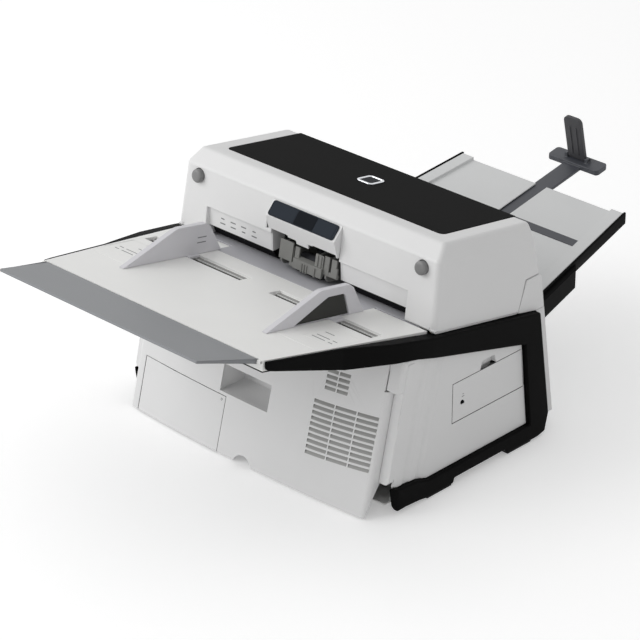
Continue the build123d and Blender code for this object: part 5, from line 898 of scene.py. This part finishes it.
class SCANNER_OT_electrics(bpy.types.Operator):
    """Finish the sockets, switch, fan and boards"""

    bl_idname = "scanner.electrics"
    bl_label = "Electrics"

    def execute(self, context):
        for node in ("power_inlet", "data_port", "power_switch"):
            softened(node, "dark", 0.3 * MM, 2)
        for node, material in (("fan_frame", "dark"), ("fan_rotor", "dark"),
                               ("main_board", "board"), ("power_supply", "aluminium")):
            keep_node(node, material)
        return {"FINISHED"}


# Stage


# Metres, watts, and shares of full white.
FLOOR_SIZE = 14.0
FLOOR_LIFT = 0.3
ROOM_LIGHT = 0.575
LAMP_PLACE = (-2.0, -2.3, 1.95)
LAMP_TARGET = (0, 0, 0.15)
LAMP_POWER = 64.0
LAMP_SIZE = 3.0
VIEW_TARGET = (0.0, -0.069, 0.1422)


def seen_rays(tree):
    """One where the camera, a reflection or glass sees a surface, else zero."""
    rays = add_node(tree, "ShaderNodeLightPath")
    seen = add_node(tree, "ShaderNodeMath", {"operation": "MAXIMUM"},
                    {0: rays.outputs["Is Camera Ray"], 1: rays.outputs["Is Glossy Ray"]})
    seen = add_node(tree, "ShaderNodeMath", {"operation": "MAXIMUM"},
                    {0: seen.outputs[0], 1: rays.outputs["Is Transmission Ray"]})
    return seen.outputs[0]


def floor_material():
    """Pale floor: matt, and near white to the camera so that only shadow shows."""
    material, tree, shader, place = new_material("Floor_matt_white", colour("#f4f4f4"),
                                                 {"Roughness": 0.9})
    lift = add_node(tree, "ShaderNodeMath", {"operation": "MULTIPLY", 1: FLOOR_LIFT},
                    {0: seen_rays(tree)})
    shader.inputs["Emission Color"].default_value = (1.0, 1.0, 1.0, 1.0)
    tree.links.new(lift.outputs[0], shader.inputs["Emission Strength"])
    return material


def white_surroundings(strength):
    """Even pale light all round, white where the camera or a reflection sees it."""
    world = bpy.data.worlds.new("Studio")
    bpy.context.scene.world = world
    world.use_nodes = True
    tree = world.node_tree
    tree.nodes.clear()
    level = add_node(tree, "ShaderNodeMapRange", {3: strength, 4: 1.0}, {0: seen_rays(tree)})
    back = add_node(tree, "ShaderNodeBackground", {"Color": (1.0, 1.0, 1.0, 1.0)},
                    {"Strength": level.outputs[0]})
    add_node(tree, "ShaderNodeOutputWorld", links={"Surface": back.outputs[0]})


def soft_lamp(name, place, target, power, size):
    """Square soft box that looks at a point."""
    data = bpy.data.lights.new(name, "AREA")
    data.energy = power
    data.size = size
    lamp = bpy.data.objects.new(name, data)
    lamp.location = place
    lamp.rotation_euler = (Vector(target) - Vector(place)).to_track_quat("-Z", "Y").to_euler()
    bpy.context.scene.collection.objects.link(lamp)


def camera_view(sizes):
    """Camera before the scanner's right front corner, where the photograph was taken from."""
    data = bpy.data.cameras.new("Camera")
    data.lens = sizes.lens
    data.sensor_width = 36.0
    data.clip_end = 50.0
    camera = bpy.data.objects.new("Camera", data)
    bpy.context.scene.collection.objects.link(camera)
    turn, rise = sizes.camera_turn, sizes.camera_rise
    away = Vector((sin(turn) * cos(rise), -cos(turn) * cos(rise), sin(rise)))
    camera.location = Vector(VIEW_TARGET) + away * sizes.camera_distance
    camera.rotation_euler = (pi / 2 - rise, 0.0, turn)
    bpy.context.scene.camera = camera


class SCANNER_OT_stage(bpy.types.Operator):
    """Set up the floor, the soft light and the camera"""

    bl_idname = "scanner.stage"
    bl_label = "Stage"

    def execute(self, context):
        context.scene.view_settings.view_transform = "Standard"
        deselect_all()
        bpy.ops.mesh.primitive_plane_add(size=FLOOR_SIZE, location=(0, 0, 0))
        floor = context.object
        floor.name = "floor"
        floor.data.materials.append(floor_material())
        white_surroundings(ROOM_LIGHT)
        soft_lamp("Key", LAMP_PLACE, LAMP_TARGET, LAMP_POWER, LAMP_SIZE)
        camera_view(context.scene.scanner_sizes)
        return {"FINISHED"}


# Add-on


OPERATORS = (SCANNER_OT_stage, SCANNER_OT_casing, SCANNER_OT_case_details, SCANNER_OT_cover,
             SCANNER_OT_feed_deck, SCANNER_OT_feed_path, SCANNER_OT_stacker, SCANNER_OT_electrics)


class SCANNER_PT_panel(bpy.types.Panel):
    """Sizes, colours and pieces of the scanner"""

    bl_idname = "SCANNER_PT_panel"
    bl_label = "Document scanner"
    bl_space_type = "VIEW_3D"
    bl_region_type = "UI"
    bl_category = "Scanner"

    def draw(self, context):
        column = self.layout.column()
        for group in (context.scene.scanner_sizes, context.scene.scanner_colours):
            for name in group.__annotations__:
                column.prop(group, name)
        for operator in OPERATORS:
            column.operator(operator.bl_idname)


CLASSES = (ScannerSizes, ScannerColours) + OPERATORS + (SCANNER_PT_panel,)


def register():
    for kind in CLASSES:
        bpy.utils.register_class(kind)
    bpy.types.Scene.scanner_sizes = PointerProperty(type=ScannerSizes)
    bpy.types.Scene.scanner_colours = PointerProperty(type=ScannerColours)


def unregister():
    del bpy.types.Scene.scanner_colours
    del bpy.types.Scene.scanner_sizes
    for kind in reversed(CLASSES):
        bpy.utils.unregister_class(kind)


def main():
    register()
    bpy.ops.scanner.stage()
    bpy.ops.scanner.casing()
    bpy.ops.scanner.case_details()
    bpy.ops.scanner.cover()
    bpy.ops.scanner.feed_deck()
    bpy.ops.scanner.feed_path()
    bpy.ops.scanner.stacker()
    bpy.ops.scanner.electrics()


if __name__ == "__main__":
    main()
